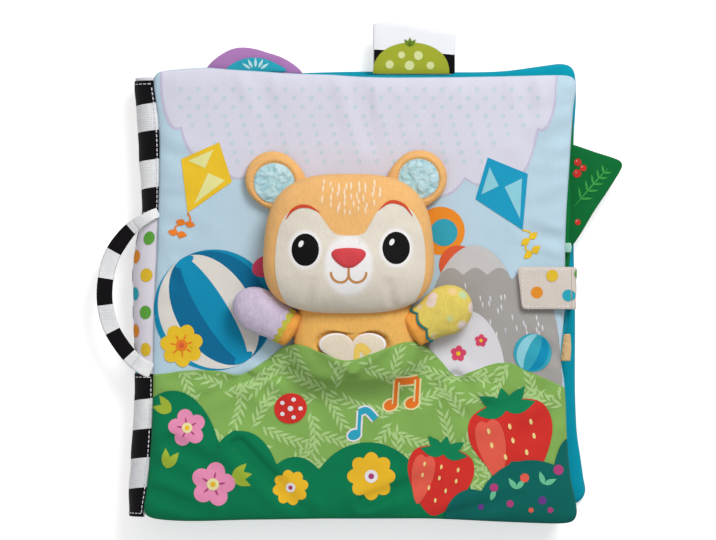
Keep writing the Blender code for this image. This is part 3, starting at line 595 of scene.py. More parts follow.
def shade(tint, factor):
    """A colour, given by its parts or its six digits, made lighter or darker."""
    rgb = hue(tint) if isinstance(tint, str) else tint
    return (*(min(c * factor, 1.0) for c in rgb[:3]), 1.0)


def once(maker):
    """Makes a finish of one name one time."""
    return lambda name, *given, **more: bpy.data.materials.get(name) or maker(name, *given, **more)


@once
def cloth(name, rgb, mottle=0.07):
    """Woven cloth: two crossing sets of threads raise it, the gaps between the threads get a little painted
    shade, and slow noise makes its dye uneven.
    """
    n = Nodes(name)
    pitch = sizes().weave
    warp = n.threads(pitch, "Y")
    weft = n.threads(pitch * math.sqrt(2), "X", n.where(turn=(0, math.pi / 4, 0)))
    weave = n.maths("MULTIPLY", warp, weft)
    uneven = n.noise(38, 4)
    fibre = n.noise(1500, 2)
    tint = n.blend(uneven, shade(rgb, 1 - mottle), shade(rgb, 1 + mottle))
    # Painted shade: where the threads dip, the colour is blended up to a tenth of the way towards a darker
    # copy of itself.
    thread = n.maths("MULTIPLY", n.maths("SUBTRACT", 1.0, weave), 0.1)
    tint = n.blend(thread, tint, shade(rgb, 0.72))
    height = n.maths("ADD", weave, n.maths("MULTIPLY", fibre, 0.6))
    return n.finish(tint, height, 0.00012, 0.88, 0.02)


@once
def plush(name, rgb, mottle=0.1, second=None, depth=0.0005, sheen=0.12):
    """Short pile: fine drawn-out noise for the fibres, slower noise for how the pile lies."""
    n = Nodes(name)
    pile = n.noise(620, 3, n.where(scale=(1.0, 0.42, 1.0)), 0.65)
    lie = n.noise(70, 3, distortion=0.6)
    tint = n.blend(n.ramp(pile, 0.3, 0.7), shade(rgb, 1 - mottle), shade(rgb, 1 + mottle * 0.6))
    tint = n.blend(
        n.maths("MULTIPLY", n.ramp(lie, 0.42, 0.75), 0.28), tint, shade(second or rgb, 1.0 if second else 0.8)
    )
    height = n.maths("ADD", pile, n.maths("MULTIPLY", lie, 0.8))
    return n.finish(tint, height, depth, 0.92, sheen, 0.7)


def satin(name, rgb, pale, scale=95):
    """Crushed satin: drawn-out noise folds it, and along those folds the colour is blended towards a pale
    colour as painted highlights for its shine.
    """
    n = Nodes(name)
    folds = n.noise(scale, 3, rough=0.5, distortion=2.4)
    fine = n.threads(0.0005, "Y")
    # Painted highlight: the fold noise blends the colour up to six tenths of the way towards the pale colour.
    tint = n.blend(n.maths("MULTIPLY", n.ramp(folds, 0.3, 0.74), 0.6), shade(rgb, 0.94), shade(pale, 1.0))
    height = n.maths("ADD", folds, n.maths("MULTIPLY", fine, 0.04))
    return n.finish(tint, height, 0.0022, 0.3, 0.0, 0.8, **{"Specular IOR Level": 0.6})


@once
def webbing(name, rgb):
    """Ribbed tape: ribs across it and a finer rib along it."""
    n = Nodes(name)
    ribs = n.threads(0.0011, "Y")
    fine = n.threads(0.0007 * math.sqrt(2), "X", n.where(turn=(0, math.pi / 4, 0)))
    height = n.maths("ADD", ribs, n.maths("MULTIPLY", fine, 0.7))
    worn = n.noise(55, 4)
    tint = n.blend(n.ramp(worn, 0.3, 0.7), shade(rgb, 0.86), shade(rgb, 1.1))
    return n.finish(tint, height, 0.00022, 0.82, 0.02, 0.7)


def grained(name, rgb, scale, low, high, depth, rough, detail=3, fine=0.55, distortion=0.0, **others):
    """One noise for its grain: it raises the surface and shades the colour from low to high."""
    n = Nodes(name)
    grain = n.noise(scale, detail, rough=fine, distortion=distortion)
    tint = n.blend(grain, shade(rgb, low), shade(rgb, high))
    return n.finish(tint, grain, depth, rough, **others)


def hard(name, rgb, rough=0.4, metallic=0.0):
    return grained(name, rgb, 420, 0.92, 1.06, 0.00005, rough, strength=0.3, Metallic=metallic)


def fluff(name, rgb):
    return grained(
        name, rgb, 180, 0.86, 1.05, 0.0012, 1.0, sheen=0.3, strength=0.8, detail=5, fine=0.7, distortion=1.0
    )


def put(made, body, *nodes, slot=None, fill=None):
    """Hangs a piece on the body it rides on and hides the solids it stands for. Its slot, for a finish, and
    its fill, for the padding, are not used.
    """
    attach(made, body)
    if nodes:
        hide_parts(*nodes)
    return made


# The book's outlines, in millimetres: sides as (along, across), ends as (across, along)

FRONT_LEFT = (
    (-141, -139.6), (-135, -139.8), (-120, -137.6), (-101, -135.6), (-64, -133.6), (-30, -133.3),
    (0, -132.4), (30, -131), (54, -130.2), (79, -129.6), (104, -129.8), (120, -131.5), (135, -133.5),
    (143, -133.8),
)
FRONT_RIGHT = (
    (-141, 129.6), (-134, 130), (-126, 128.7), (-113, 125.9), (-90, 123.7), (-51, 121.6), (-38, 119.7),
    (-23, 120.8), (-7, 122.2), (33, 122.5), (54, 123.3), (80, 125), (104, 126.5), (120, 127.8),
    (131, 129.6), (142, 129.6),
)
FRONT_FOOT = (
    (-141, -137), (-125, -138.6), (-70, -138.3), (0, -137.4), (45, -137.8), (82, -139.5), (119, -140.7),
    (131, -140.7),
)
FRONT_HEAD = (
    (-136, 140), (-120, 141.2), (-110, 142), (-100, 142.4), (-88, 141.5), (-67, 140.1), (-42, 138.6),
    (-23, 138), (-5, 136.8), (40, 136.4), (82, 137), (119, 137.8), (131, 137.8),
)
BACK_RIGHT = (
    (-131, 134), (-124, 136.6), (-113, 135.3), (-101, 133.6), (-86, 131.4), (-72, 130.6), (-10, 130.2),
    (40, 129.2), (100, 129.4), (128, 130.8), (146, 130.2),
)
BACK_FOOT = ((-133, -137.0), (0, -137.0), (80, -135.0), (118, -131.8), (136, -130.4))
BACK_HEAD = (
    (-133, 138.4), (-60, 139.4), (-40, 140.5), (-5, 141.4), (50, 141), (88, 142), (110, 145),
    (122, 146.4), (132, 145.4),
)
LEAF_RIGHTS = (
    ((-139, 125), (-100, 121), (-60, 119.5), (-24, 123.2), (-15, 124.2), (-7, 123.8), (10, 121.8),
     (60, 121.6), (110, 124.4), (139, 126)),
    ((-139, 126), (-60, 121), (0, 122), (19, 125.6), (60, 127.4), (105, 128.2), (139, 126.5)),
    ((-139, 125), (0, 120.5), (139, 125)),
)
MEADOW_EDGE = (
    (-142, -48.6), (-132, -48.4), (-110, -45.9), (-92, -46.4), (-79.4, -48.6), (-66, -41.5), (-50, -30.4),
    (-43, -29.6), (-30, -34), (-14.3, -39.2), (4.3, -34.4), (16.7, -29.8), (26, -27.8), (35.3, -30.6),
    (44.6, -39.3), (53.9, -49), (63.2, -46.5), (81.8, -40.9), (88, -41.2), (100.4, -46.8), (109.7, -50.8),
    (120.3, -55.8), (131, -60),
)
SPINE_OUTER = (
    (-141, -150.3), (-120, -150.4), (-101, -149), (-82, -148), (-64, -147.2), (-50, -146.6),
    (-20, -147.6), (0, -148.2), (20, -147.8), (38, -145.5), (49, -142.4), (75, -143.2), (106, -145),
    (134, -146.6), (141, -146.2),
)
FOLDS = (
    ((-76, -50), (-104, -64), 3.6, 2), ((-74, -50), (-54, -66), 4, 1.9),
    ((-72, -50), (-30, -46), 3.2, 1.2), ((-78, -50), (-122, -52), 3.4, 1.2),
    ((54, -50), (72, -68), 3.8, 2.2), ((52, -50), (32, -64), 3.6, 1.5), ((56, -50), (84, -56), 3.4, 1.2),
    ((-80, -92), (-38, -136), 4.4, 2.8), ((-2, -128), (38, -112), 4.2, 2.4),
    ((62, -74), (106, -60), 5, 1.3), ((-132, -122), (-100, -134), 4.2, 2.2),
    ((-122, -90), (-92, -108), 4.4, 1.8), ((-36, -62), (-20, -92), 6, 1.2), ((22, -66), (6, -96), 6, 1.2),
    ((50, -138), (90, -124), 4.4, 2), ((118, -72), (96, -88), 5, 1.3),
)
COVER_FOLDS = (
    ((-10, 138), (2, 96), 5, 1.6), ((46, 137), (30, 108), 4.4, 1.2), ((122, 34), (96, 42), 3.8, 1.5),
    ((126, 104), (102, 92), 4.8, 1.3), ((-132, 92), (-108, 84), 4.6, 1.2),
    ((120, -38), (98, -24), 3.8, 1.2), ((-70, 139), (-60, 112), 4.4, 1.1),
    ((96, 137), (100, 114), 4.4, 1.2), ((-120, 10), (-130, 24), 3.6, 1), ((-132, 48), (-104, 40), 4.6, 1),
    ((122, 62), (108, 58), 3.8, 0.9),
)


CLOUD_LOBES = (
    (-118, 10, 34), (-104, 15, 52), (-80, 24, 65), (-50, 30, 76), (-18, 30, 78), (14, 30, 78),
    (44, 30, 76), (70, 28, 69), (91, 16, 64), (107, 9.5, 35),
)
CLOUD_TOP, CLOUD_HALF = 129.0, 111
DOT_ROW, DOT_COLUMN = 5.6, 10.8


def creased(x, y, folds, ridge=0.35):
    """Folds: each sinks by a bell of the distance from its line between two ridges, and fades
    towards its far end."""
    total = np.zeros(np.broadcast(x, y).shape)
    for start, end, width, depth in folds:
        a, b = np.array(start) * MM, np.array(end) * MM
        d = b - a
        t = np.clip(((x - a[0]) * d[0] + (y - a[1]) * d[1]) / (d @ d), 0, 1)
        away = np.hypot(x - a[0] - t * d[0], y - a[1] - t * d[1]) / (width * MM)
        total = total - depth * MM * (1 - 0.75 * t) * (np.exp(-away**2) - ridge * np.exp(-(away - 2.0) ** 2))
    return total


LOW, MIDDLE, HIGH = range(3)
DEEPEST = 0.002


def level(node, which):
    """The lowest, middle or highest height of a solid."""
    low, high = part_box(node)
    return (low.z, (low.z + high.z) / 2, high.z)[which]


@functools.cache
def front():
    """The front cover: its seam lies between its two faces, and no fold is deeper than DEEPEST."""
    seam = (level("front_cover_face", LOW) + level("front_cover_lining", HIGH)) / 2
    rise = level("front_cover_face", HIGH) - seam
    made = Panel(FRONT_LEFT, FRONT_RIGHT, FRONT_FOOT, FRONT_HEAD, seam, rise - 0.0001, rise - 0.0004, seed=11)
    made.least = level("front_cover_crinkle_film", HIGH) + 0.00015 - seam

    def folds(x, y):
        return made.puff(x, y)[0] * DEEPEST * np.tanh(creased(x, y, COVER_FOLDS + FOLDS, 0.8) / DEEPEST)

    made.extra = folds
    return made


class Meadow(Carrier):
    """The cloth layer over the cover's lower part. Over the belly it hangs as a loaded skin
    held up by what is under it: each height is the mean of its four neighbours less a small
    load, never lower than the belly, and the last turns smooth it."""

    STEP = 0.0015
    LOAD = 4.5e-5
    TURNS, SMOOTHING = 500, 2

    def __init__(self):
        self.xs = np.arange(-0.146, 0.138, self.STEP)
        self.ys = np.arange(-0.146, -0.008, self.STEP)
        x, y = np.meshgrid(self.xs, self.ys)
        base = front().top(x, y)
        under = np.zeros_like(x)
        for form in (torso_form(), heart_form()):
            inside = form.share(x, y) < 1.0
            under = np.maximum(under, np.where(inside, form.top(x, y) - base, 0.0))
        under = np.max([np.roll(under, (i, j), (0, 1)) for i in (-1, 0, 1) for j in (-1, 0, 1)], 0)
        skin = under.copy()
        for turn in range(self.TURNS + self.SMOOTHING):
            mean = sum(np.roll(skin, way, axis) for axis in (0, 1) for way in (1, -1)) / 4
            if turn >= self.TURNS:
                skin = np.maximum((skin + mean) / 2, under)
                continue
            skin = np.maximum(mean - self.LOAD, under)
            skin[0] = skin[:, 0] = skin[:, -1] = 0.0
            skin[-1] = skin[-2]
        self.skin = skin

    def bulge(self, x, y):
        u = np.clip((x - self.xs[0]) / self.STEP, 0, len(self.xs) - 1.001)
        v = np.clip((y - self.ys[0]) / self.STEP, 0, len(self.ys) - 1.001)
        i, j = u.astype(int), v.astype(int)
        return corners(self.skin.T, i, j, i + 1, j + 1, u - i, v - j)

    def top(self, x, y):
        puff = front().puff(x, y)[0]
        slack = sizes().slack * (
            0.7 * waves(x, y, (0.03, 0.024), 41) + 0.3 * waves(x + y, x - y, (0.012, 0.017), 42)
        )
        return front().top(x, y) + eased(puff * 2) * np.maximum(
            sizes().overlay_lift + slack, 0.0006
        ) + self.bulge(x, y)


@functools.cache
def meadow():
    return Meadow()


def below(panel, crest, columns, rows, first=-1.0, last=1.0):
    """Grid places from a panel's foot up to a crest line."""
    s = np.linspace(first, last, columns)
    t = np.full(columns, -0.4)
    for _ in range(12):
        x, _ = panel.spot(s, t)
        t = np.clip(panel.shares(x, crest(x))[1], -0.999, 0.999)
    share = np.linspace(0, 1, rows)
    share = (0.75 * share + 0.25 * np.sin(share * math.pi / 2))[:, None]
    return panel.spot(np.broadcast_to(s, (rows, columns)), -1 + (t + 1)[None] * share)


def crest_of(bumps):
    """A hill line: the highest of several half ovals."""

    def crest(x):
        lines = [
            MM * (base + height * np.sqrt(np.clip(1 - ((x / MM - middle) / half) ** 2, 0, 1)))
            for middle, half, base, height in bumps
        ]
        return np.max(lines, axis=0)

    return crest


def flat_parts(*corners):
    return np.array(corners, float) * MM


# Prints


def print_cloths(prefix, names, mottle):
    """One cloth for each named colour."""
    return {key: cloth(f"{prefix}_{key}", rgb, mottle) for key, rgb in names.items()}


def lift(layer):
    return sizes().print_lift * layer


def kite(sheaf, centre, size, turn, looks):
    """A kite: four corners, two pale panels and a wavy tail with bows."""

    def at(points):
        return turned(points, centre, turn, size)

    body, pale, dark, bow = looks
    patch(sheaf, at([(0, 0.5), (-0.36, 0.1), (0, -0.5), (0.36, 0.1)]), lift(3), body)
    patch(sheaf, at([(-0.03, 0.38), (-0.27, 0.12), (-0.03, 0.12)]), lift(4), pale)
    patch(sheaf, at([(0.03, 0.08), (0.27, 0.08), (0.03, -0.36)]), lift(4), pale)
    tail = np.linspace(0, 1, 24)
    wave = at(pair(0.07 * np.sin(tail * 7), -0.5 - tail * 0.34))
    line(sheaf, wave, 0.0011, lift(3), dark)
    for share in (0.4, 0.9):
        spot = wave[int(share * 23)]
        for side in (0.2, math.pi + 0.2):
            patch(sheaf, blade(spot, turn + side, size * 0.13, size * 0.085, 12), lift(4), bow)


def ball(sheaf, centre, radius, turn, looks, layer=2):
    """A striped ball: its seams are meridians, each a sine of its turn across the ball."""
    lat = np.linspace(-math.pi / 2, math.pi / 2, 30)
    edges = np.radians(np.linspace(-90, 90, len(looks) + 1))
    sides = [turned(pair(np.cos(lat) * math.sin(edge), np.sin(lat)), centre, turn, radius) for edge in edges]
    for number, look in enumerate(looks):
        band(sheaf, sides[number + 1], sides[number], lift(layer), look)
    for spot in turned(((0, 0.93), (0, -0.93)), centre, turn, radius):
        patch(sheaf, oval(spot, (radius * 0.17, radius * 0.07), turn), lift(layer + 1), looks[0])


def flower(sheaf, centre, radius, petals, looks, turn=0.0, layer=3):
    """A flower: rounded petals round an eye, with a line down each petal."""
    petal, mark, eye, pupil = looks

    def at(share, angle):
        return (centre[0] + radius * share * math.cos(angle), centre[1] + radius * share * math.sin(angle))

    wide = radius * math.sin(math.pi / petals) * 0.62
    radii = (radius * 0.45, min(wide + radius * 0.1, radius * 0.42))
    for number in range(petals):
        angle = turn + math.tau * number / petals
        patch(sheaf, oval(at(0.55, angle), radii, angle, 20), lift(layer + 0.2 * (number % 2)), petal)
        if mark is not None:
            patch(
                sheaf, blade(at(0.25, angle), angle, radius * 0.32, radius * 0.09, 10), lift(layer + 1.2),
                mark
            )
    disc(sheaf, centre, radius * 0.27, lift(layer + 2), eye, 20)
    if pupil is not None:
        disc(sheaf, centre, radius * 0.12, lift(layer + 3), pupil, 14)


def note(sheaf, centre, size, looks, double=False):
    """A music note, or two under one beam, with a pale edge under it."""
    colour_look, edge = looks
    heads = ((-0.28, -0.32), (0.34, -0.26)) if double else ((-0.12, -0.36),)
    for grow, look, layer in ((0.0011, edge, 2), (0.0, colour_look, 3)):
        for hx, hy in heads:
            spot = (centre[0] + hx * size, centre[1] + hy * size)
            patch(sheaf, oval(spot, (size * 0.2 + grow, size * 0.15 + grow), 0.4, 20), lift(layer), look)
            stem = [
                (spot[0] + size * x, spot[1] + size * y) for x, y in ((0.13, 0), (0.15, 0.36), (0.17, 0.72))
            ]
            line(sheaf, stem, size * 0.1 + 2 * grow, lift(layer + 0.1), look)
        beam = ((heads[0][0] + 0.15, heads[0][1] + 0.68), (0.26, 0.38), (0.52, 0.43 if double else 0.12))
        top = [(centre[0] + size * x, centre[1] + size * y) for x, y in beam]
        line(sheaf, rounded(top, 5, False), size * 0.2 + 2 * grow, lift(layer + 0.2), look)


def berry(sheaf, centre, size, turn, looks):
    """A strawberry: a rounded wedge with pale seeds under a crown of five leaves."""
    red, dark, seed, leaf = looks
    right = [(0.27, -0.3), (0.46, 0.06), (0.42, 0.34), (0.2, 0.45)]
    left = [(-x, y) for x, y in right[::-1]]
    shape = np.array([(0, -0.52), *right, (0, 0.41), *left]) * size

    def at(points):
        return turned(points, centre, turn)

    patch(sheaf, at(rounded(shape, 6)), lift(4), red)
    patch(sheaf, at(rounded(shape * (0.34, 0.72) + (-0.24 * size, -0.02 * size), 5)), lift(5), dark)
    for row, wide in ((-0.3, 1), (-0.14, 2), (0.02, 3), (0.18, 3)):
        for number in range(wide):
            x = (number - (wide - 1) / 2) * 0.24
            mark = oval((x * size, row * size), (size * 0.018, size * 0.034), 0, 10)
            patch(sheaf, at(mark), lift(6), seed, 0.004)
    root = at((0, 0.36 * size))[0]
    for degrees, long in ((90, 0.26), (40, 0.34), (140, 0.34), (5, 0.34), (175, 0.34)):
        angle = math.radians(degrees)
        patch(sheaf, blade(root, turn + angle, size * long, size * 0.15, 14), lift(6 + angle / 10), leaf)


class Maker:
    """An operator that runs its make step."""

    def execute(self, context):
        self.make()
        return {"FINISHED"}


class CLOTHBOOK_OT_covers(Maker, bpy.types.Operator):
    """Makes the two covers and the three leaves, each two faces of cloth sewn over wadding"""

    bl_idname = "cloth_book.covers"
    bl_label = "Covers and leaves"

    def make(self):
        sky = cloth("sky_cloth_printed", colour("sky"))
        teal = cloth("teal_cloth_woven", colour("teal"))
        green = cloth("green_page_cloth", colour("page_green"))
        cover = front().object("front_cover_padded", [sky, teal], 210, 216)
        put(cover, "front_cover", "front_cover_face", "front_cover_lining", slot="sky_cloth", fill=0.35)
        low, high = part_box("back_cover_face")
        seam = (high.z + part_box("back_cover_lining")[0].z) / 2
        left = ((-142, low.x / MM), (145, low.x / MM))
        back = Panel(
            left, BACK_RIGHT, BACK_FOOT, BACK_HEAD, seam, seam - 0.0002, seam - 0.0002, seed=23, calm=0.45
        )
        made = back.object("back_cover_padded", [teal, teal], 120, 124)
        put(made, "back_and_spine", "back_cover_face", "back_cover_lining", slot="teal_cloth", fill=0.35)
        for number, right in enumerate(LEAF_RIGHTS, 1):
            name = f"leaf_{number}"
            low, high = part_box(f"{name}_front_face")
            seam = (low.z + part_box(f"{name}_back_face")[1].z) / 2
            rise = high.z - seam - 0.0001
            left = ((-140, low.x / MM), (140, low.x / MM))
            tails = tuple(((-133, side * 137.6), (0, side * 138.2), (129, side * 137.2)) for side in (-1, 1))
            leaf = Panel(left, right, *tails, seam, rise, rise, run=0.01, seed=31 + 9 * number, calm=0.35)
            tint, looks = ("green", [green, teal]) if number == 2 else ("teal", [teal, green])
            made = leaf.object(f"{name}_padded", looks, 110, 116)
            put(made, name, f"{name}_front_face", f"{name}_back_face", slot=f"{tint}_cloth", fill=0.3)


class CLOTHBOOK_OT_cover_print(Maker, bpy.types.Operator):
    """Prints the cover's sky: a dotted cloud, two kites, balls, a sunrise and hills"""

    bl_idname = "cloth_book.cover_print"
    bl_label = "Cover print"

    def make(self):
        names = {
            "cloud": colour("cloud"), "cloud_edge": colour("cloud_edge"), "mint_dot": colour("mint_dot"),
            "kite_yellow": "EFC52E", "kite_pale": "E9E79A", "kite_orange": "F0822A",
            "kite_blue": "1C9CC4", "kite_sky": "8FD0DE",
            "ball_blue": "0F8FB8", "ball_cream": "E2DED6", "ball_deep": "0B6C98", "ball_rose": "D9486A",
            "sun_orange": "F0912C", "sun_red": "E2603A", "sun_teal": "35A6BD",
            "rock": "A9A5A2", "rock_pale": "CBC8C8", "snow": "DEDCE2",
        }
        sheaf = Sheaf(front().place, print_cloths("print", names, 0.05))
        lobes = crest_of([(middle, half, -139, height) for middle, half, height in CLOUD_LOBES])
        for grow, layer, key in ((0.0013, 1, "cloud_edge"), (0.0, 2, "cloud")):
            x = np.linspace(-0.1278 - grow, 0.1163 + grow, 260)
            low = -lobes(x / (1 + grow * 8)) - grow
            high = through(FRONT_HEAD, x) - 0.0005
            band(sheaf, pair(x, np.minimum(low, high)), pair(x, high), lift(layer), key)
        for row in range(sizes().dots):
            y = (CLOUD_TOP - row * DOT_ROW) * MM
            half = CLOUD_HALF - max(0, row - 3) * 7
            for x in np.arange(-half + (row % 2) * DOT_COLUMN / 2, half, DOT_COLUMN):
                disc(sheaf, (x * MM - 0.005, y), 0.0014, lift(3), "mint_dot", 12, 0.004)
        kite(sheaf, (-0.102, 0.074), 0.048, -0.42, ["kite_yellow", "kite_pale", "kite_orange", "kite_orange"])
        kite(sheaf, (0.085, 0.064), 0.05, 0.45, ["kite_blue", "kite_sky", "kite_yellow", "kite_yellow"])
        disc(sheaf, (0.045, 0.041), 0.015, lift(1), "sun_orange", 40)
        disc(sheaf, (0.047, 0.04), 0.0085, lift(2), "sun_teal", 30)
        disc(sheaf, (0.056, 0.02), 0.012, lift(2), "sun_red", 40)
        peaks, snow = crest_of(((66, 34, -50, 82), (98, 22, -50, 66))), crest_of(((60, 25, -50, 42),))
        for crest, first, last, count, layer, look in (
            (peaks, 0.03, 0.1205, 80, 3, "rock"), (snow, 0.0352, 0.0848, 60, 4, "snow"),
        ):
            x = np.linspace(first, last, count)
            foot = through(MEADOW_EDGE, x) - 0.0015
            band(sheaf, pair(x, foot), pair(x, np.maximum(crest(x), foot)), lift(layer), look)
        x = np.linspace(0.044, 0.088, 40)
        ridge, teeth = peaks(x), 0.0135 + 0.0045 * np.abs(np.sin((x - 0.044) * 210))
        band(sheaf, pair(x, np.minimum(teeth, ridge)), pair(x, ridge), lift(4), "rock_pale")
        rng = np.random.default_rng(3)
        for px, py in rng.uniform((0.06, -0.024), (0.112, 0.01), (34, 2)):
            patch(sheaf, blade((px, py), -1.45, 0.0045, 0.0011, 8), lift(5), "snow", 0.004)
        stripes = 2 * ["ball_blue", "ball_cream", "ball_deep"] + ["ball_blue"]
        ball(sheaf, (-0.0955, -0.008), 0.0375, 0.55, stripes)
        patch(sheaf, oval((-0.064, 0.019), (0.0082, 0.0062), 0.5), lift(3), "ball_rose")
        gold = ("kite_yellow", "kite_orange", "kite_orange", "sun_red")
        flower(sheaf, (-0.1155, -0.03), 0.0135, 7, gold, 0.3, 4)
        for px, py, radius in ((0.056, -0.035, 0.005), (0.07, -0.027, 0.004)):
            flower(sheaf, (px, py), radius, 5, ("ball_rose", None, "kite_yellow", None), 0.2, 6)
        stripes = ("sun_teal", "kite_sky", "sun_teal", "ball_blue", "sun_teal")
        ball(sheaf, (0.102, -0.0345), 0.0118, -0.4, stripes, 7)
        put(sheaf.object("cover_print"), "front_cover", slot="sky_cloth")


# A sprig's stem: its knots, the way from knot to knot, and how far back of its root it starts
SPRIG_COUNT = 80
SPRIG_PITCH = 0.02
SPRIG_KNOTS = 15
SPRIG_STEP = 0.0023
SPRIG_BACK = 0.016
HILLS = (
    (-121, 31, -112, 54), (-78, 24, -122, 39), (-45, 21, -128, 29), (0, 37, -130, 40), (46, 28, -132, 24),
)
BUSH = ((64, 17, -140, 21), (101, 36, -140, 39), (124, 12, -140, 52))
BUSH_DOTS = (
    (78, -118, 2.6, "rose"), (88, -128, 2.2, "rose"), (97, -112, 2.8, "red_light"),
    (108, -126, 2.6, "violet"), (118, -107, 3.2, "rose"), (113, -132, 1.8, "rose"),
    (70, -130, 1.8, "violet"), (101, -132, 1.6, "red_light"),
)
BUSH_LEAVES = ((92, -119, 0.9), (92, -119, 2.2), (109, -116, 0.4), (109, -116, 1.9), (76, -126, 1.2))
HILL_LEAVES = (
    (-122, -71, 2.2), (-122, -71, 2.9), (-84, -112, 0.2), (-84, -112, 0.8), (-84, -112, -0.4),
    (-125, -106, 0.9), (-125, -106, 1.6),
)
PINK_FLOWERS = ((-0.112, -0.081, 0.0118, 0.5), (-0.096, -0.116, 0.014, 0.1))
GOLD_FLOWERS = ((-0.048, -0.118, 0.0112, 0.2), (0.002, -0.111, 0.015, 0.0))


class CLOTHBOOK_OT_meadow(Maker, bpy.types.Operator):
    """Lays the leaf-sprigged meadow cloth over the cover's lower part and the belly, with its prints"""

    bl_idname = "cloth_book.meadow"
    bl_label = "Meadow layer"

    def make(self):
        ground = meadow()
        x, y = below(front(), lambda q: through(MEADOW_EDGE, q), 230, 110)
        points = ground.place(x, y, 0.0)
        hem = np.stack([points[-1], points[-1] + (0, 0.0004, -0.0004), points[-1] + (0, 0.0002, -0.0011)])
        sheaf = Sheaf()
        sheaf.grid(np.concatenate([points, hem[1:]]))
        made = sheaf.object("meadow_cloth", [cloth("meadow_cloth_woven", colour("meadow"), 0.1)])
        put(made, "front_cover", "meadow_overlay", slot="leaf_print_cloth")
        self.sprigs(ground)
        self.scenery(ground)

    def sprigs(self, ground):
        """Leaf sprigs: a bowed stem with leaves at both sides, one to a cell of a shaken grid."""
        rng = np.random.default_rng(8)
        sheaf = Sheaf(ground.place)

        def kept(outline):
            """The outline held inside the layer's edge, or nothing where most of it is outside."""
            a, b = front().shares(outline[:, 0], outline[:, 1])
            edge = through(MEADOW_EDGE, outline[:, 0]) - 0.0008
            if np.abs(a).max() > 0.985 or b.min() < -0.97 or (outline[:, 1] > edge).mean() > 0.5:
                return None
            return pair(outline[:, 0], np.minimum(outline[:, 1], edge))

        pitch = SPRIG_PITCH * math.sqrt(SPRIG_COUNT / sizes().sprigs)
        for row, y in enumerate(np.arange(-0.122, -0.026, pitch * 0.9)):
            for x in np.arange(-0.136, 0.13, pitch) + (row % 2) * pitch / 2:
                root = np.array([x, y]) + rng.uniform(-0.25, 0.25, 2) * pitch
                turn, bow = rng.uniform(0, math.tau), rng.uniform(-0.9, 0.9)
                angle = turn + bow * np.linspace(-0.5, 0.5, SPRIG_KNOTS)
                stem = root + np.cumsum(SPRIG_STEP * pair(np.cos(angle), np.sin(angle)), 0)
                stem = stem - SPRIG_BACK * np.array([math.cos(turn), math.sin(turn)])
                held = kept(stem)
                if held is not None:
                    line(sheaf, held, 0.0007, lift(1.2), 0, taper=True)
                leaves = [
                    (stem[knot + (side > 0)], angle[knot] + side * 0.58, 0.0072)
                    for knot in range(1, SPRIG_KNOTS - 2, 2) for side in (-1, 1)
                ]
                for spot, way, length in leaves + [(stem[-1], angle[-1], 0.0066)]:
                    leaf = kept(blade(spot, way, length, 0.0018, 12))
                    if leaf is not None:
                        patch(sheaf, leaf, lift(1.6), 0, 0.0022)
        look = cloth("print_sprig", colour("sprig"), 0.08)
        put(sheaf.object("meadow_sprigs", [look]), "front_cover", slot="leaf_print_cloth")

    def scenery(self, ground):
        """Hills, flowers, berries, a bush and two notes."""
        names = {
            "hill": colour("hill"), "bush": colour("bush"), "pink": "EE93BA", "rose": "B2417B",
            "cream": "F0E7A8", "yellow": "F2BE2C", "orange": "F07A28", "white": "EFEAEE",
            "red": "D8332C", "red_light": "E9604E", "leaf": "A3B93A", "leaf_deep": "0E8556",
            "blue": "2FA9C6", "violet": "6D3B8E", "seed": "F4D98C", "pale_green": "6FC79A",
        }
        sheaf = Sheaf(ground.place, print_cloths("print_meadow", names, 0.06))
        x, y = below(front(), crest_of(HILLS), 210, 70, -1.0, 0.52)
        sheaf.grid(ground.place(x, y, lift(3.2)), look="hill")
        fruit = ("red", "red_light", "seed", "leaf_deep")
        berry(sheaf, (0.09, -0.09), 0.056, 0.22, fruit)
        berry(sheaf, (0.044, -0.113), 0.044, -0.18, fruit)
        x, y = below(front(), crest_of(BUSH), 120, 50, 0.38, 1.0)
        sheaf.grid(ground.place(x, y, lift(8.6)), look="bush")
        for x, y, radius, look in BUSH_DOTS:
            disc(sheaf, (x * MM, y * MM), radius * MM, lift(9.8), look, 18)
        for table, length, width, count, layer, look in (
            (BUSH_LEAVES, 0.0085, 0.0034, 14, 9.6, "pale_green"),
            (HILL_LEAVES, 0.0125, 0.0054, 16, 4, "leaf"),
        ):
            for x, y, turn in table:
                patch(sheaf, blade((x * MM, y * MM), turn, length, width, count), lift(layer), look)
        for table, petals, looks in (
            (PINK_FLOWERS, 5, ("pink", "rose", "cream", "yellow")),
            (GOLD_FLOWERS, 8, ("yellow", None, "white", "rose")),
        ):
            for x, y, radius, turn in table:
                flower(sheaf, (x, y), radius, petals, looks, turn, 4)
        spot = (-0.048, -0.069)
        patch(sheaf, oval(spot, (0.0102, 0.0094), 0.3, 36), lift(4), "red")
        for turn in around(5):
            dot = (spot[0] + 0.0062 * math.cos(turn), spot[1] + 0.0058 * math.sin(turn))
            patch(sheaf, oval(dot, (0.0014, 0.0013), 0, 12), lift(5.4), "white")
        patch(sheaf, oval(spot, (0.0018, 0.0017), 0, 12), lift(5.4), "white")
        note(sheaf, (0.02, -0.06), 0.0215, ("orange", "cream"), double=True)
        note(sheaf, (-0.006, -0.078), 0.0205, ("blue", "white"))
        put(sheaf.object("meadow_print"), "front_cover", slot="leaf_print_cloth")


# The bear

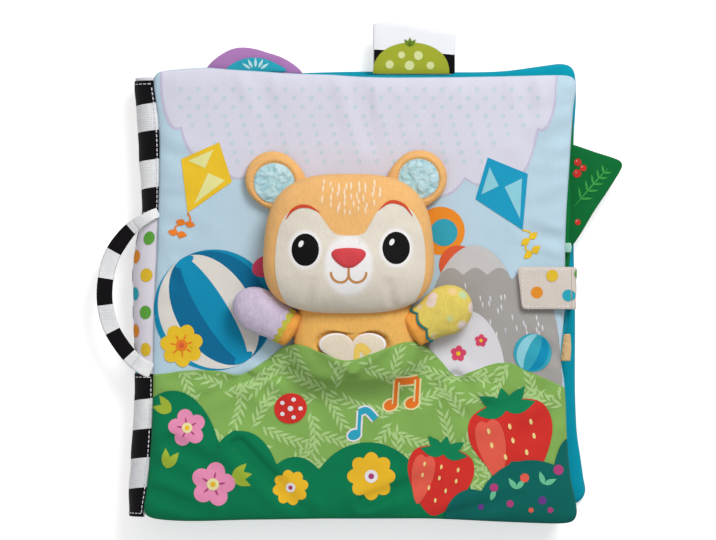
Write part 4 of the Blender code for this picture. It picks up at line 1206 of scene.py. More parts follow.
SUNK = 0.0002
BELLY_MIDDLE = (-0.0077, -0.0223)
NOSE = (-0.0119, 0.0242)
EYES = ((-0.0384, 0.0291), (0.0171, 0.0302))
BROWS = (
    ((-50.4, 47.6), (-46.8, 52.8), (-41.6, 55.6), (-35.6, 55.2), (-29.4, 51.8)),
    ((6.4, 53.2), (11.6, 57.6), (16.8, 58.4), (22.6, 55.8), (27.2, 49.8)),
)
FACE_OUTLINE = (
    (-40, 55.4), (-47.4, 53), (-53, 46), (-56, 34.8), (-57, 19.8), (-55.4, 7.4), (-50.4, -3.6),
    (-42, -12.3), (-27, -16), (-11.9, -17), (4, -16), (19, -12), (27, -6), (31.7, 2.8), (34.4, 12),
    (35.1, 23), (34, 37), (30.2, 48), (24, 55.2), (16, 57.8), (8.2, 55), (3.8, 49.6), (1.4, 44.4),
    (-1.2, 40.2), (-5.2, 38.2), (-11.6, 37.8), (-17.8, 38.2), (-22, 40.4), (-25.4, 44.8), (-28.8, 49.6),
    (-33.2, 53.8),
)
NOSE_OUTLINE = (
    (-10.6, 2.4), (-8, 5.2), (0, 6), (8, 5.2), (10.6, 2.4), (8.6, -1.6), (3.6, -5.6), (0, -6.2),
    (-3.6, -5.6), (-8.6, -1.6),
)
CHIN_TUCKS = (((-38, -9), (-34.5, 9), 2.6, 2.0), ((16, -9), (12.5, 9), 2.6, 2.0))
EARS = {"left": ((-0.0588, 0.073), (-0.058, 0.0706)), "right": ((0.0317, 0.0737), (0.0313, 0.073))}
SHOULDERS = {"left": ((-0.04636, -0.02051), 150), "right": ((0.0272, -0.0206), 31)}


def middle_of(node):
    low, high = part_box(node)
    return (low.x + high.x) / 2, (low.y + high.y) / 2


MUZZLE, MUZZLE_HALF, MUZZLE_SWELL = (-0.012, 0.016), (0.037, 0.027), 0.0024


def head_extra(x, y):
    """The muzzle swells as a power of what is left to its oval edge; two tucks sink under the chin."""
    reach = ((x - MUZZLE[0]) / MUZZLE_HALF[0]) ** 2 + ((y - MUZZLE[1]) / MUZZLE_HALF[1]) ** 2
    swell = MUZZLE_SWELL * np.clip(1 - reach, 0, 1) ** 1.5
    tucks = creased(x, y, CHIN_TUCKS)
    lumps = 0.0005 * waves(x, y, (0.019, 0.016), 61) + 0.00018 * waves(x, y, (0.006, 0.006), 62)
    return swell + tucks + lumps


@functools.cache
def head_form():
    """The head: a square oval, narrower towards its crown."""
    low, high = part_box("bear_head")
    x, y = middle_of("bear_head")
    shape = oval((0, 0), ((high.x - low.x) / 2, (high.y - low.y) / 2), 0, 240, 0.667)
    shape[:, 0] *= 1 - 0.07 * shape[:, 1] / (high.y - low.y) * 2
    tall = high.z - low.z
    heights = (low.z + 0.45 * tall, 0.55 * tall, 0.47 * tall, low.z - SUNK)
    return Stuffed((x, y), shape + (x, y), *heights, (0.7, 0.86), head_extra)


@functools.cache
def torso_form():
    """The belly: a square oval, wider towards its foot, with a dish for the heart."""
    low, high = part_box("bear_torso")
    x, y = BELLY_MIDDLE
    tall = high.z - low.z
    shape = oval((x, y), ((high.x - low.x) / 2 + 0.0022, 0.03), 0, 180, 0.7)
    shape[:, 0] -= (shape[:, 0] - x) * (shape[:, 1] - y) * 1.6

    def dish(x, y):
        """Room for the heart as it presses, a little wider than its outline."""
        return -0.0034 * eased((1.13 - heart_form().share(x, y)) * 11)

    heights = (low.z + 0.3 * tall, 0.7 * tall - 0.0012, 0.3 * tall, low.z - SUNK)
    return Stuffed((x, y), shape, *heights, (0.56, 0.74), dish)


def heart_outline(centre, width, length):
    """A heart: the cube of a sine across, and four cosines along."""
    a = around(72)
    x = np.sin(a) ** 3
    y = (13 * np.cos(a) - 5 * np.cos(2 * a) - 2 * np.cos(3 * a) - np.cos(4 * a)) / 14.5 + 0.17
    return pair(centre[0] + x * width / 2, centre[1] + y * length / 2)[::-1]


@functools.cache
def heart_form():
    low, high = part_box("heart_patch")
    x, y = middle_of("heart_patch")
    shape = heart_outline((x, y), high.x - low.x, high.y - low.y)
    tall = high.z - low.z
    return Stuffed((x, y), shape, low.z + 0.4 * tall, 0.6 * tall, 0.4 * tall, low.z, (0.5, 0.7))


EAR_REACH, EAR_DRAWN, EAR_DISH = 0.0172, 0.36, 0.0136
EAR_PAD, EAR_SEAM = (0.0129, 0.0126), (0.0133, 0.013)
FACE_SHARE = 0.996


class CLOTHBOOK_OT_head(Maker, bpy.types.Operator):
    """Makes the bear's stuffed head with its cream face, muzzle, nose, mouth, eyes and ears"""

    bl_idname = "cloth_book.head"
    bl_label = "Bear's head"

    def make(self):
        form = head_form()
        tan = plush("bear_tan_pile", colour("tan"), 0.07)
        cream = self.face_plush()
        head = form.object("bear_head_plush", [tan], 240, 100)
        put(head, "front_cover", "bear_head", slot="bear_tan_plush", fill=0.85)
        sheaf = Sheaf(form.place)
        outline = rounded(flat_parts(*FACE_OUTLINE), 5)
        reach = np.maximum(form.share(outline[:, 0], outline[:, 1]) / FACE_SHARE, 1.0)[:, None]
        outline = form.centre + (outline - form.centre) / reach
        patch(sheaf, outline, 0.0004, 0, 0.0011, rim=True)
        face = sheaf.object("bear_face_cloth", [cream])
        put(face, "front_cover", "bear_muzzle", slot="bear_cream_plush", fill=0.4)
        self.features(form)
        for side in ("left", "right"):
            self.ear(side, tan)

    def face_plush(self):
        """Cream pile that turns to soft white towards the muzzle's middle and each eye."""
        n = Nodes(made=plush("bear_cream_pile", colour("cream"), 0.035))
        share = 0.0
        for x, y, wide, tall in ((NOSE[0], 0.0195, 0.0148, 0.0186), *((*eye, 0.0102, 0.012) for eye in EYES)):
            here = n.add("ShaderNodeTexCoord").outputs["Object"]
            round_spot = {"Vector": here, "Location": (x, y, 0.06), "Scale": (wide, tall, 1.0)}
            spot = n.add("ShaderNodeMapping", round_spot, vector_type="TEXTURE").outputs[0]
            away = n.add("ShaderNodeVectorMath", {0: spot}, operation="LENGTH").outputs["Value"]
            share = n.maths("MAXIMUM", n.ramp(away, 1.12, 0.86, kind="SMOOTHSTEP"), share)
        return n.over(share, (*colour("face_white"), 1.0))

    def features(self, form):
        """Eyes, brows, forehead marks and mouth, and the nose as a small pad."""
        sheaf = Sheaf(form.place, {
            "eye": hard("eye_black_print", "050505", 0.65),
            "glint": cloth("eye_white_print", "F4F3F5", 0.02),
            "brow": cloth("brow_thread", "CF4A2E", 0.05),
            "mouth": cloth("mouth_thread", "C98C50", 0.05),
            "mark": cloth("forehead_print", "F7DDBB", 0.04),
        })
        for x, y in EYES:
            patch(sheaf, oval((x, y), (0.0084, 0.0099), 0, 40), 0.00055, "eye", 0.0013)
            patch(sheaf, oval((x - 0.0026, y + 0.0036), (0.0014, 0.0022), -0.5, 18), 0.0008, "glint", 0.001)
        for arc in BROWS:
            line(sheaf, rounded(flat_parts(*arc), 5, False), 0.0021, 0.0009, "brow", taper=True)
        t = np.linspace(0, math.pi, 16)
        nose_x = NOSE[0]
        for side in (-1, 1):
            low = 0.0145 - 0.0058 * np.sin(t) ** 0.9 + 0.001 * (1 - np.cos(t)) / 2
            line(sheaf, pair(nose_x + side * (0.0054 - 0.0054 * np.cos(t)), low), 0.0014, 0.0006, "mouth")
        line(sheaf, pair(nose_x, np.linspace(0.0188, 0.0143, 6)), 0.0014, 0.00062, "mouth")
        rng = np.random.default_rng(12)
        rows = ((0.0716, 0.016), (0.068, 0.018), (0.0636, 0.017), (0.0592, 0.0135), (0.055, 0.0085))
        for row, (y, wide) in enumerate(rows):
            for x in np.arange(-wide, wide + 1e-6, 0.0042):
                across = 0.0014 + nose_x + x + rng.uniform(-0.0009, 0.0009) + (row % 2) * 0.002
                spot = (across, y + rng.uniform(-0.0014, 0.0014))
                mark = blade(spot, -1.57 + x * 6, rng.uniform(0.0036, 0.0062), 0.0013, 10)
                patch(sheaf, mark, 0.0003, "mark", 0.002)
        put(sheaf.object("bear_face_print"), "front_cover", slot="bear_tan_plush")
        shape = rounded(flat_parts(*NOSE_OUTLINE), 6) + NOSE
        seat = float(form.top(*np.array(NOSE)))
        velour = grained("nose_velour", colour("nose"), 160, 0.82, 1.12, 0.0003, 0.8, sheen=0.15)
        nose = Stuffed(
            NOSE, shape, seat, 0.0021, 0.0022, -1.0, (0.75, 0.8)
        ).object("bear_nose_pad", [velour], 64, 24)
        put(nose, "front_cover", "bear_nose", slot="red_velour", fill=0.8)

    def ear(self, side, tan):
        """A stuffed ear, drawn out towards the head, dished round its crushed satin pad."""
        centre, pad_centre = EARS[side]
        base, top = level(f"bear_ear_{side}", LOW), level(f"bear_ear_{side}", HIGH)
        angle = around(120)
        inward = math.atan2(0.0329 - centre[1], -0.012 - centre[0])
        reach = EAR_REACH * (1 + EAR_DRAWN * np.clip(np.cos(angle - inward), 0, 1) ** 2.2)
        shape = pair(centre[0] + reach * np.cos(angle), centre[1] + reach * np.sin(angle))

        def dish(x, y):
            away = np.hypot(x - pad_centre[0], y - pad_centre[1]) / EAR_DISH
            return -0.0022 * eased((1.08 - away) * 4) + 0.0003 * waves(x, y, (0.006, 0.006), 71)

        ear = Stuffed(centre, shape, base + 0.004, top - base - 0.0034, 0.004, base, (0.62, 0.75), dish)
        made = ear.object(f"ear_{side}_plush", [tan], 96, 44)
        put(made, "front_cover", f"bear_ear_{side}", slot="bear_tan_plush", fill=0.7)

        def crumple(x, y):
            fold = waves(x + 0.4 * y, y - 0.3 * x, (0.0046, 0.0031), 75 + len(side))
            return 0.0011 * np.abs(fold) + 0.0005 * waves(x, y, (0.0021, 0.0026), 78)

        shape = oval(pad_centre, EAR_PAD, 0, 90)
        pad = Stuffed(pad_centre, shape, base + 0.0068, 0.0018, 0.0012, -1.0, (0.6, 0.8), crumple)
        # The pale E4F6FA is the satin's painted highlight colour on its folds.
        made = pad.object(
            f"ear_{side}_satin_pad", [satin(f"ear_{side}_satin", colour("satin"), "E4F6FA")], 90, 40
        )
        put(made, "front_cover", f"ear_satin_{side}", slot="blue_satin", fill=0.5)
        sheaf = Sheaf(ear.place)
        path = oval(pad_centre, EAR_SEAM, 0, 90)
        stitches(sheaf, np.concatenate([path, path[:1]]), 0.0016, 0.0007)
        made = sheaf.object(f"ear_{side}_stitches", [cloth("tan_thread", "D99C58", 0.05)], smooth_angle=SHARP)
        put(made, "front_cover", slot="bear_tan_plush")


HEART_PRINT, NOTE_HEIGHT = 0.925, 0.015


class CLOTHBOOK_OT_belly(Maker, bpy.types.Operator):
    """Makes the bear's stuffed belly and the heart pad that presses"""

    bl_idname = "cloth_book.belly"
    bl_label = "Bear's belly and heart"

    def make(self):
        form = torso_form()
        belly_plush = plush("belly_pile", "EEB862", 0.08, "E6A650")
        belly = form.object("bear_belly_plush", [belly_plush], 140, 48)
        put(belly, "front_cover", "bear_torso", slot="bear_tan_plush", fill=0.85)
        heart = heart_form()
        made = heart.object("heart_pad", [cloth("heart_edge_cloth", "F3F1F3", 0.03)], 110, 30)
        put(made, "heart_button", "heart_patch", slot="bear_cream_plush", fill=0.6)
        x, y = heart.centre
        low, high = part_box("heart_patch")
        shape = heart_outline((0, 0), high.x - low.x, high.y - low.y) * HEART_PRINT + (x, y)
        sheaf = Sheaf(heart.place)
        patch(sheaf, shape, 0.0002, 0, 0.0012)
        sheaf.place = lambda u, v, up: heart.place(u, v, up + 0.00012)
        note(sheaf, (x + 0.002, y - 0.002), NOTE_HEIGHT, (1, 1))
        looks = [plush("heart_pile", "E6D8C2", 0.05), cloth("heart_note_print", "EFCB62", 0.04)]
        put(sheaf.object("heart_print", looks), "heart_button", slot="bear_cream_plush")


SLEEVE_START, SLEEVE_LENGTH, SLEEVE_HALF = -0.0022, 0.0192, 0.0112
MITTEN_ENDS = (0.008, 0.0412)
MITTEN_HALF = {"left": 0.0136, "right": 0.0152}
CUFF_HALF, CUFF_TALL, CUFF_TOOTH = 0.0116, 0.0072, 0.0024
TRIM_HALF, CORD = 0.0115, 0.00062


class CLOTHBOOK_OT_arms(Maker, bpy.types.Operator):
    """Makes the bear's arms, each a cloth sleeve and a plush mitten"""

    bl_idname = "cloth_book.arms"
    bl_label = "Bear's arms"

    def make(self):
        lilac = plush("lilac_pile", colour("lilac"), 0.16, "EFE6F4", 0.0008)
        looks = {"left": lilac, "right": self.dotted_plush()}
        orange = plush("orange_sleeve_cloth", colour("orange"), 0.1, "E9B54C", 0.0002, 0.03)
        for side, ((x, y), degrees) in SHOULDERS.items():
            turn = math.radians(degrees)
            along = np.array([math.cos(turn), math.sin(turn)])
            body = f"arm_{side}"
            z = level(f"{body}_sleeve", MIDDLE)

            def path(runs):
                return np.concatenate(
                    [np.array([x, y]) + runs[:, None] * along, np.full((len(runs), 1), z)], 1
                )

            runs = SLEEVE_START + SLEEVE_LENGTH * eased(np.linspace(0, 1, 26))
            wide = SLEEVE_HALF * ends(runs, runs[0], runs[-1], 0.003, 0.004)
            sheaf = Sheaf()
            tube(sheaf, path(runs), wide, wide * 0.6, 44, 0.04, 81)
            sleeve = sheaf.object(f"arm_{side}_sleeve_cloth", [orange], turn=True)
            put(sleeve, body, f"arm_{side}_sleeve", slot="orange_cloth", fill=0.7)
            first, last = MITTEN_ENDS
            runs = first + (last - first) * eased(np.linspace(0, 1, 48))
            grown = eased((runs - first) / 0.017)
            wide = (
                CUFF_HALF + (MITTEN_HALF[side] - CUFF_HALF) * grown
            ) * ends(runs, first, last, 0.001, 0.0165)
            tall = (CUFF_TALL + 0.00105 * grown) * ends(runs, first, last, 0.001, 0.013)
            angle = around(88)[None]
            teeth = np.abs((angle / math.tau * 13) % 1 * 2 - 1 if side == "left" else np.sin(3 * angle + 0.5))
            shift = CUFF_TOOTH * teeth * np.clip(1 - (runs - first) / 0.008, 0, 1)[:, None]
            sheaf = Sheaf()
            tube(sheaf, path(runs), wide, tall, 88, 0.03, 83, shift)
            mitten = sheaf.object(f"arm_{side}_mitten_plush", [looks[side]], turn=True)
            slot = {"left": "lilac_cloth", "right": "yellow_cloth"}[side]
            put(mitten, body, f"arm_{side}_mitten", slot=slot, fill=0.85)
            sheaf = Sheaf()
            if side == "left":
                runs = 0.0036 + 0.007 * eased(np.linspace(0, 1, 16))
                ring = TRIM_HALF * ends(runs, runs[0], runs[-1], 0.0016, 0.0016)
                shift = 0.001 * teeth * (runs < 0.006)[:, None]
                tube(sheaf, path(runs), ring, ring * 0.61, 88, 0.03, 85, shift)
                look = plush("trim_left_pile", "C3BE45", 0.16, "D9B84A")
            else:
                self.piping(sheaf, path(first - CUFF_TOOTH * teeth[0]), along, 0.0117, 0.0074)
                look = cloth("trim_right_cord", "147F88", 0.08)
            put(sheaf.object(f"arm_{side}_trim", [look], turn=True), body, slot="orange_cloth")

    def piping(self, sheaf, middle, along, wide, tall):
        """A thin cord round the limb: a small circle carried along a closed oval that runs to and fro."""
        angle = around(len(middle))
        out = np.stack([-along[1] * np.cos(angle), along[0] * np.cos(angle), np.sin(angle)], -1)
        core = middle + out * (wide, wide, tall)
        round_turn = (np.arange(9) * math.tau / 8)[:, None, None]
        axis = np.array([along[0], along[1], 0.0])
        sheaf.grid(
            core[None] + CORD * (np.cos(round_turn) * out[None] + np.sin(round_turn) * axis), wrap=True
        )

    def dotted_plush(self):
        """Yellow pile with soft dots of pastel colours, one to a cell."""
        n = Nodes(made=plush("yellow_pile", colour("yellow"), 0.1, "DDB64E"))
        cells = n.add("ShaderNodeTexVoronoi", {"Vector": n.where(), "Scale": 105, "Randomness": 0.75})
        pick = n.add("ShaderNodeSeparateColor", {"Color": cells.outputs["Color"]}).outputs["Red"]
        tints = n.add("ShaderNodeValToRGB", {"Fac": pick})
        tints.color_ramp.interpolation = "CONSTANT"
        for number, code in enumerate(("E8D6F0", "A9DDC0", "F2C9A0", "F0D9EE")):
            stop = tints.color_ramp.elements[number] if number < 2 else tints.color_ramp.elements.new(
                number / 4
            )
            stop.position = number / 4
            stop.color = (*hue(code), 1.0)
        return n.over(
            n.ramp(cells.outputs["Distance"], 0.44, 0.27, 0.62, "SMOOTHSTEP"), tints.outputs["Color"]
        )


# The spine, the strap, the tabs and the ribbons


def spine_place(u, v, up):
    """The gusset's outer face: u runs round its bulge, v along the book. Each place is a cosine out
    and a sine up, between the outer line and the two covers' edges."""
    turn = u / 0.0125
    root = np.where(turn > 0, through(FRONT_LEFT, v) + 0.001, -0.1325)
    outer = through(SPINE_OUTER, v) + 0.0013
    low, middle, high = (level("spine_gusset", which) for which in (LOW, MIDDLE, HIGH))
    half = (high - low) / 2 - 0.0003
    rough = 0.0004 * waves(u, v, (0.02, 0.012), 91)
    x = root - (root - outer + up + rough) * np.cos(turn)
    return np.stack([x, v + 0 * x, middle + (half + up + rough) * np.sin(turn)], -1)


def striped(sheaf, edges, low, high, slant, rows=8, columns=20):
    """A striped run: alternate lengths in black and white, with slightly slanted joins."""
    levels, looks = [], []
    for number, (a, b) in enumerate(zip(edges, edges[1:])):
        levels += list(np.linspace(a, b, rows + 1))[:-1]
        looks += [number % 2] * rows
    v = np.array(levels + [edges[-1]])
    uu, vv = np.meshgrid(np.linspace(low, high, columns), v)
    inside = (v > v.min()) & (v < v.max())
    vv = vv + slant * (uu - uu.mean()) * inside[:, None]
    sheaf.grid(sheaf.place(uu, vv, 0.0), look=np.array(looks)[:, None])


def thicken(made, thick, offset=1.0):
    """Gives a sheet its thickness, along its normals."""
    step = made.modifiers.new("thickness", "SOLIDIFY")
    step.thickness = thick
    step.offset = offset
    step.use_even_offset = False
    return made


def tape_looks():
    return [webbing(f"{key}_rib", colour(key)) for key in ("tape_black", "tape_white")]


def dotted(sheaf, spots, radius, up, flip=True, run=(-1.0, 1.0), wide=1.0):
    """Dots, cut off where their own length of cloth starts and ends."""
    for x, y, look in spots:
        outline = oval((x * MM, y * MM), (radius * wide, radius), 0, 26)
        outline[:, 0] = np.clip(outline[:, 0], *run)
        patch(sheaf, outline, up, look, 0.0012, flip)


def dot_cloths(name):
    """Yellow, green, orange and teal cloths for dots."""
    return [cloth(f"{name}_dot_{code}", code, 0.05) for code in ("E4BE34", "5FA640", "E8912C", "2AA9BC")]


# Where the stripes meet, head to foot, and the handle's middle line, in millimetres
TAPE_STRIPES = {
    "spine_tape_upper": (134.5, 119.7, 102.9, 84.9, 67.6, 50.2),
    "spine_tape_lower": (-47.7, -63.9, -82.5, -100.4, -119.0, -136.6),
}
HANDLE_STRIPES = (42.4, 28.5, 12.4, -5.0, -21.0, -35.5)
HANDLE_PATH = (
    (-130.2, 52.6, 30.9), (-134.8, 50.5, 31.2), (-139.8, 47.6, 29.4), (-146, 43.6, 25.8),
    (-152.2, 37.2, 23.2), (-159, 27, 22.4), (-162.6, 16, 22.3), (-164.2, 3.7, 22.3), (-163.4, -8, 22.3),
    (-159.8, -20, 22.5), (-153, -31, 23), (-146.2, -38.8, 25), (-140.2, -43.2, 28), (-134.5, -46, 30.2),
)


GUSSET_HALF = (0.0196, 0.1365)
GUSSET_THICK, TAPE_THICK, HANDLE_THICK, HANDLE_ROLL = 0.001, 0.0009, 0.0016, 0.0011


class CLOTHBOOK_OT_spine(Maker, bpy.types.Operator):
    """Makes the dotted gusset, its striped tapes with their stitches and the handle loop"""

    bl_idname = "cloth_book.spine"
    bl_label = "Spine and handle"

    def make(self):
        white = cloth("gusset_white_cloth", colour("white"), 0.05)
        uu, vv = np.meshgrid(*(np.linspace(-h, h, n) for h, n in zip(GUSSET_HALF, (40, 180))))
        sheaf = Sheaf()
        sheaf.grid(spine_place(uu, vv, -0.0002))
        gusset = thicken(sheaf.object("gusset_cloth", [white]), GUSSET_THICK, -1.0)
        put(gusset, "back_and_spine", "spine_gusset", slot="dotted_white_cloth", fill=0.2)
        sheaf = Sheaf(spine_place)
        spots = []
        for column, across in enumerate((13.9, 6.1, -1.7, -9.4, -16.4)):
            for row, y in enumerate(np.arange((36.6, 25.0)[column % 2] + 92.4, -130, -23.1)):
                spots.append((across, y, ((row + 1) % 2, 2 + row % 2)[column % 2]))
        dotted(sheaf, spots, 0.0042, 0.00012, wide=0.8)
        put(sheaf.object("gusset_dots", dot_cloths("gusset")), "back_and_spine", slot="dotted_white_cloth")
        thread = cloth("white_thread", "E9E7EE", 0.04)
        for name, stripes in TAPE_STRIPES.items():
            edges = np.array(stripes) * MM
            sheaf = Sheaf(lambda a, b, up: spine_place(a, b, 0.0003))
            striped(sheaf, edges, 0.001, 0.0188, 0.12)
            tape = thicken(sheaf.object(f"{name}_webbing", tape_looks(), smooth_angle=SHARP), TAPE_THICK)
            put(tape, "back_and_spine", name, slot="striped_webbing")
            sheaf = Sheaf(lambda a, b, up: spine_place(a, b, 0.0013 + up))
            stitches(
                sheaf, pair(0.0176, np.linspace(edges[-1] + 0.002, edges[0] - 0.002, 120)), 0.0019, 0.001
            )
            for inner in (edges[0] - 0.0022, edges[-1] + 0.0022):
                stitches(sheaf, pair(np.linspace(0.0016, 0.018, 40), inner), 0.0018, 0.0009)
            made = sheaf.object(f"{name}_stitches", [thread], smooth_angle=SHARP)
            put(made, "back_and_spine", slot="striped_webbing")
        self.handle()

    def handle(self):
        """The handle: a flat tape carried along a smooth path, its outer edge a little higher."""
        middle = rounded(flat_parts(*HANDLE_PATH), 8, False)
        side = -normals(middle)
        across = np.linspace(-1, 1, 9)
        half = np.interp(
            np.arange(len(middle)) / len(middle), (0.0, 0.16, 0.34, 1.0), (0.003, 0.0034, 0.0048, 0.0048)
        )
        flat = middle[:, None, :2] + side[:, None] * (across[None, :, None] * half[:, None, None])
        roll = HANDLE_ROLL * np.sin(np.linspace(0, math.pi, len(middle)))[:, None] * -across[None]
        points = np.concatenate([flat, (middle[:, 2, None] + roll)[..., None]], -1)
        y = middle[:, 1]
        stripe = (y[:-1, None] < np.array(HANDLE_STRIPES) * MM).sum(1)
        looks = np.where(stripe % 2 == 0, 1, 0)
        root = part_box("handle_loop")[1].x
        inside = middle[:, 0] <= root + 0.0006
        first, last = np.argmax(inside), len(inside) - np.argmax(inside[::-1])
        for name, part, body in (
            ("handle_tape", slice(first, last), "handle"),
            ("handle_tail_upper", slice(0, first + 1), "back_and_spine"),
            ("handle_tail_lower", slice(last - 1, len(inside)), "back_and_spine"),
        ):
            sheaf = Sheaf()
            rows = points[part]
            sheaf.grid(rows, look=looks[part][: len(rows) - 1, None])
            made = thicken(sheaf.object(name, tape_looks(), smooth_angle=SHARP), HANDLE_THICK, 0.0)
            nodes = ("handle_loop",) if name == "handle_tape" else ()
            put(made, body, *nodes, slot="striped_webbing")


STITCH_INSET = 0.0019
STRAP_BEND = 0.0022
STRAP_HALF = 0.0013
STRAP_SQUARE = (0.28, 0.55)
STRAP_SKEW = 0.0014


def strap_path(u):
    """The strap's middle line in the plane across the book: up, round a quarter circle, then inward."""
    low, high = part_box("strap_side")
    x, base = high.x - 0.0014, low.z + 0.0002
    bend = STRAP_BEND
    rise = level("strap_flap", MIDDLE) - bend - base
    quarter = bend * math.pi / 2
    turn = np.clip((u - rise) / bend, 0, math.pi / 2)
    on = np.clip(u - rise - quarter, 0, None)
    px = x - bend + bend * np.cos(turn) - on
    pz = base + np.minimum(u, rise) + bend * np.sin(turn)
    return px, pz, np.cos(turn), np.sin(turn), rise + quarter, x - bend


def strap_place(u, v, up):
    px, pz, nx, nz = strap_path(u)[:4]
    return np.stack([px + nx * (STRAP_HALF + up), v + 0 * px, pz + nz * (STRAP_HALF + up)], -1)


class CLOTHBOOK_OT_strap(Maker, bpy.types.Operator):
    """Makes the closing strap with dots: its side up the fore-edge and its flap on the cover"""

    bl_idname = "cloth_book.strap"
    bl_label = "Closing strap"

    def make(self):
        white = cloth("strap_white_cloth", "D8CDC3", 0.06)
        dots = dot_cloths("strap")
        low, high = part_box("strap_flap")
        turn_end, bend_x = strap_path(np.array(0.0))[4:]
        end = turn_end + bend_x - low.x + 0.0004
        split = turn_end + bend_x - high.x
        middle = (low.y + high.y) / 2
        half = (high.y - low.y) / 2
        for name, start, stop, body, node in (
            ("strap_side_cloth", 0.0, split, "strap_side", "strap_side"),
            ("strap_flap_cloth", split + 0.0001, end, "strap_flap", "strap_flap"),
        ):
            u = np.linspace(start, stop, 60)[:, None]
            angle = around(64)[None]
            c, s = np.cos(angle), np.sin(angle)
            close = np.ones_like(u)
            skew = 0.0
            if node == "strap_flap":
                close = quarter((stop - u) / 0.003)
                skew = STRAP_SKEW * eased((u - split) / (end - split))
            tip = 1 - 0.16 * (1 - close)
            across = squared(c, STRAP_SQUARE[0]) * half * tip
            puff = STRAP_HALF * (0.35 + 0.65 * close) * (
                1 + 0.3 * waves(u + 0 * angle, across, (0.009, 0.007), 97)
            )
            thick = squared(s, STRAP_SQUARE[1]) * puff
            px, pz, nx, nz = strap_path(u + skew * across / half)[:4]
            points = np.stack([px + nx * thick, middle + across + 0 * px, pz + nz * thick], -1)
            core = points.mean(1, keepdims=True) + 0 * points
            points = np.concatenate([core[:1], points, core[-1:]])
            sheaf = Sheaf()
            sheaf.grid(points, wrap=True)
            made = sheaf.object(name, [white], turn=True, smooth_angle=50)
            put(made, body, node, slot="dotted_white_cloth", fill=0.4)
        side_spots = [
            (u, middle / MM + v, look) for u, v, look in ((6, -7, 0), (9, 6, 2), (19, -1, 3), (26, 9, 1))
        ]
        flap_spots = [
            ((turn_end + bend_x) / MM - x, y, look)
            for x, y, look in ((113.9, 13.2, 0), (104.4, 2.8, 2), (123.8, 1.0, 3))
        ]
        for part, spots, run in (
            ("side", side_spots + flap_spots[2:], (0.0, split - 0.0001)),
            ("flap", flap_spots, (split + 0.0003, 1.0)),
        ):
            sheaf = Sheaf(strap_place)
            dotted(sheaf, spots, 0.0037, 0.0003, False, run)
            put(sheaf.object(f"strap_{part}_dots", dots), f"strap_{part}", slot="dotted_white_cloth")
        thread = cloth("strap_thread", "F3EFF3", 0.04)
        sheaf = Sheaf(lambda a, b, up: strap_place(a, b, up - 0.0001))
        cut = 0.001
        near, far = split + cut, end - STITCH_INSET
        foot, head = middle - half + STITCH_INSET, middle + half - STITCH_INSET
        path = np.array([
            (near, foot), (far - cut, foot), (far, foot + cut), (far, head - cut), (far - cut, head),
            (near, head),
        ])
        fine = np.concatenate([a + (b - a) * np.linspace(0, 1, 24)[:, None] for a, b in zip(path, path[1:])])
        stitches(sheaf, fine, 0.0019, 0.0008, flip=False)
        made = sheaf.object("strap_stitches", [thread], smooth_angle=SHARP)
        put(made, "strap_flap", slot="dotted_white_cloth")


# The tabs' outlines, in millimetres
DOME_ARC = (
    (-101.5, 138.6), (-100.5, 142.6), (-96.5, 147.2), (-90.5, 151.6), (-84, 154.6), (-77.5, 155.4),
    (-70, 154.4), (-62, 152), (-54, 149.4), (-47, 145.4), (-42, 141.2), (-40.6, 138.6),
)
DOME_FRONT_ARC = (
    (-89.5, 140.2), (-87, 143.2), (-82, 146.4), (-76, 148.4), (-70, 148.9), (-63.5, 147.8), (-57, 145.2),
    (-51.5, 142), (-50, 140.2),
)
STRIPED_TAB_SIDES = (
    ((136, 3.4), (172, 3)), ((136, 54.4), (166, 54.8), (173, 54.8)), ((2, 138.7), (56, 138.7)),
    ((2, 171.4), (10, 172), (23, 170.6), (41, 167.6), (56, 165)),
)
LEAF_TAB_OUTLINE = (
    (122.6, 96), (129, 94.8), (142.6, 90.2), (155, 86.2), (158.6, 83.4), (158, 79.4), (151, 68),
    (141, 53), (133, 39.5), (127, 31.4), (122.6, 31.4), (122.2, 48), (122.2, 64), (122.2, 80),
)
LEAF_TAB_STEM = ((128.5, 56.0), (137.0, 66.0), (144.0, 74.0), (150.0, 80.5))


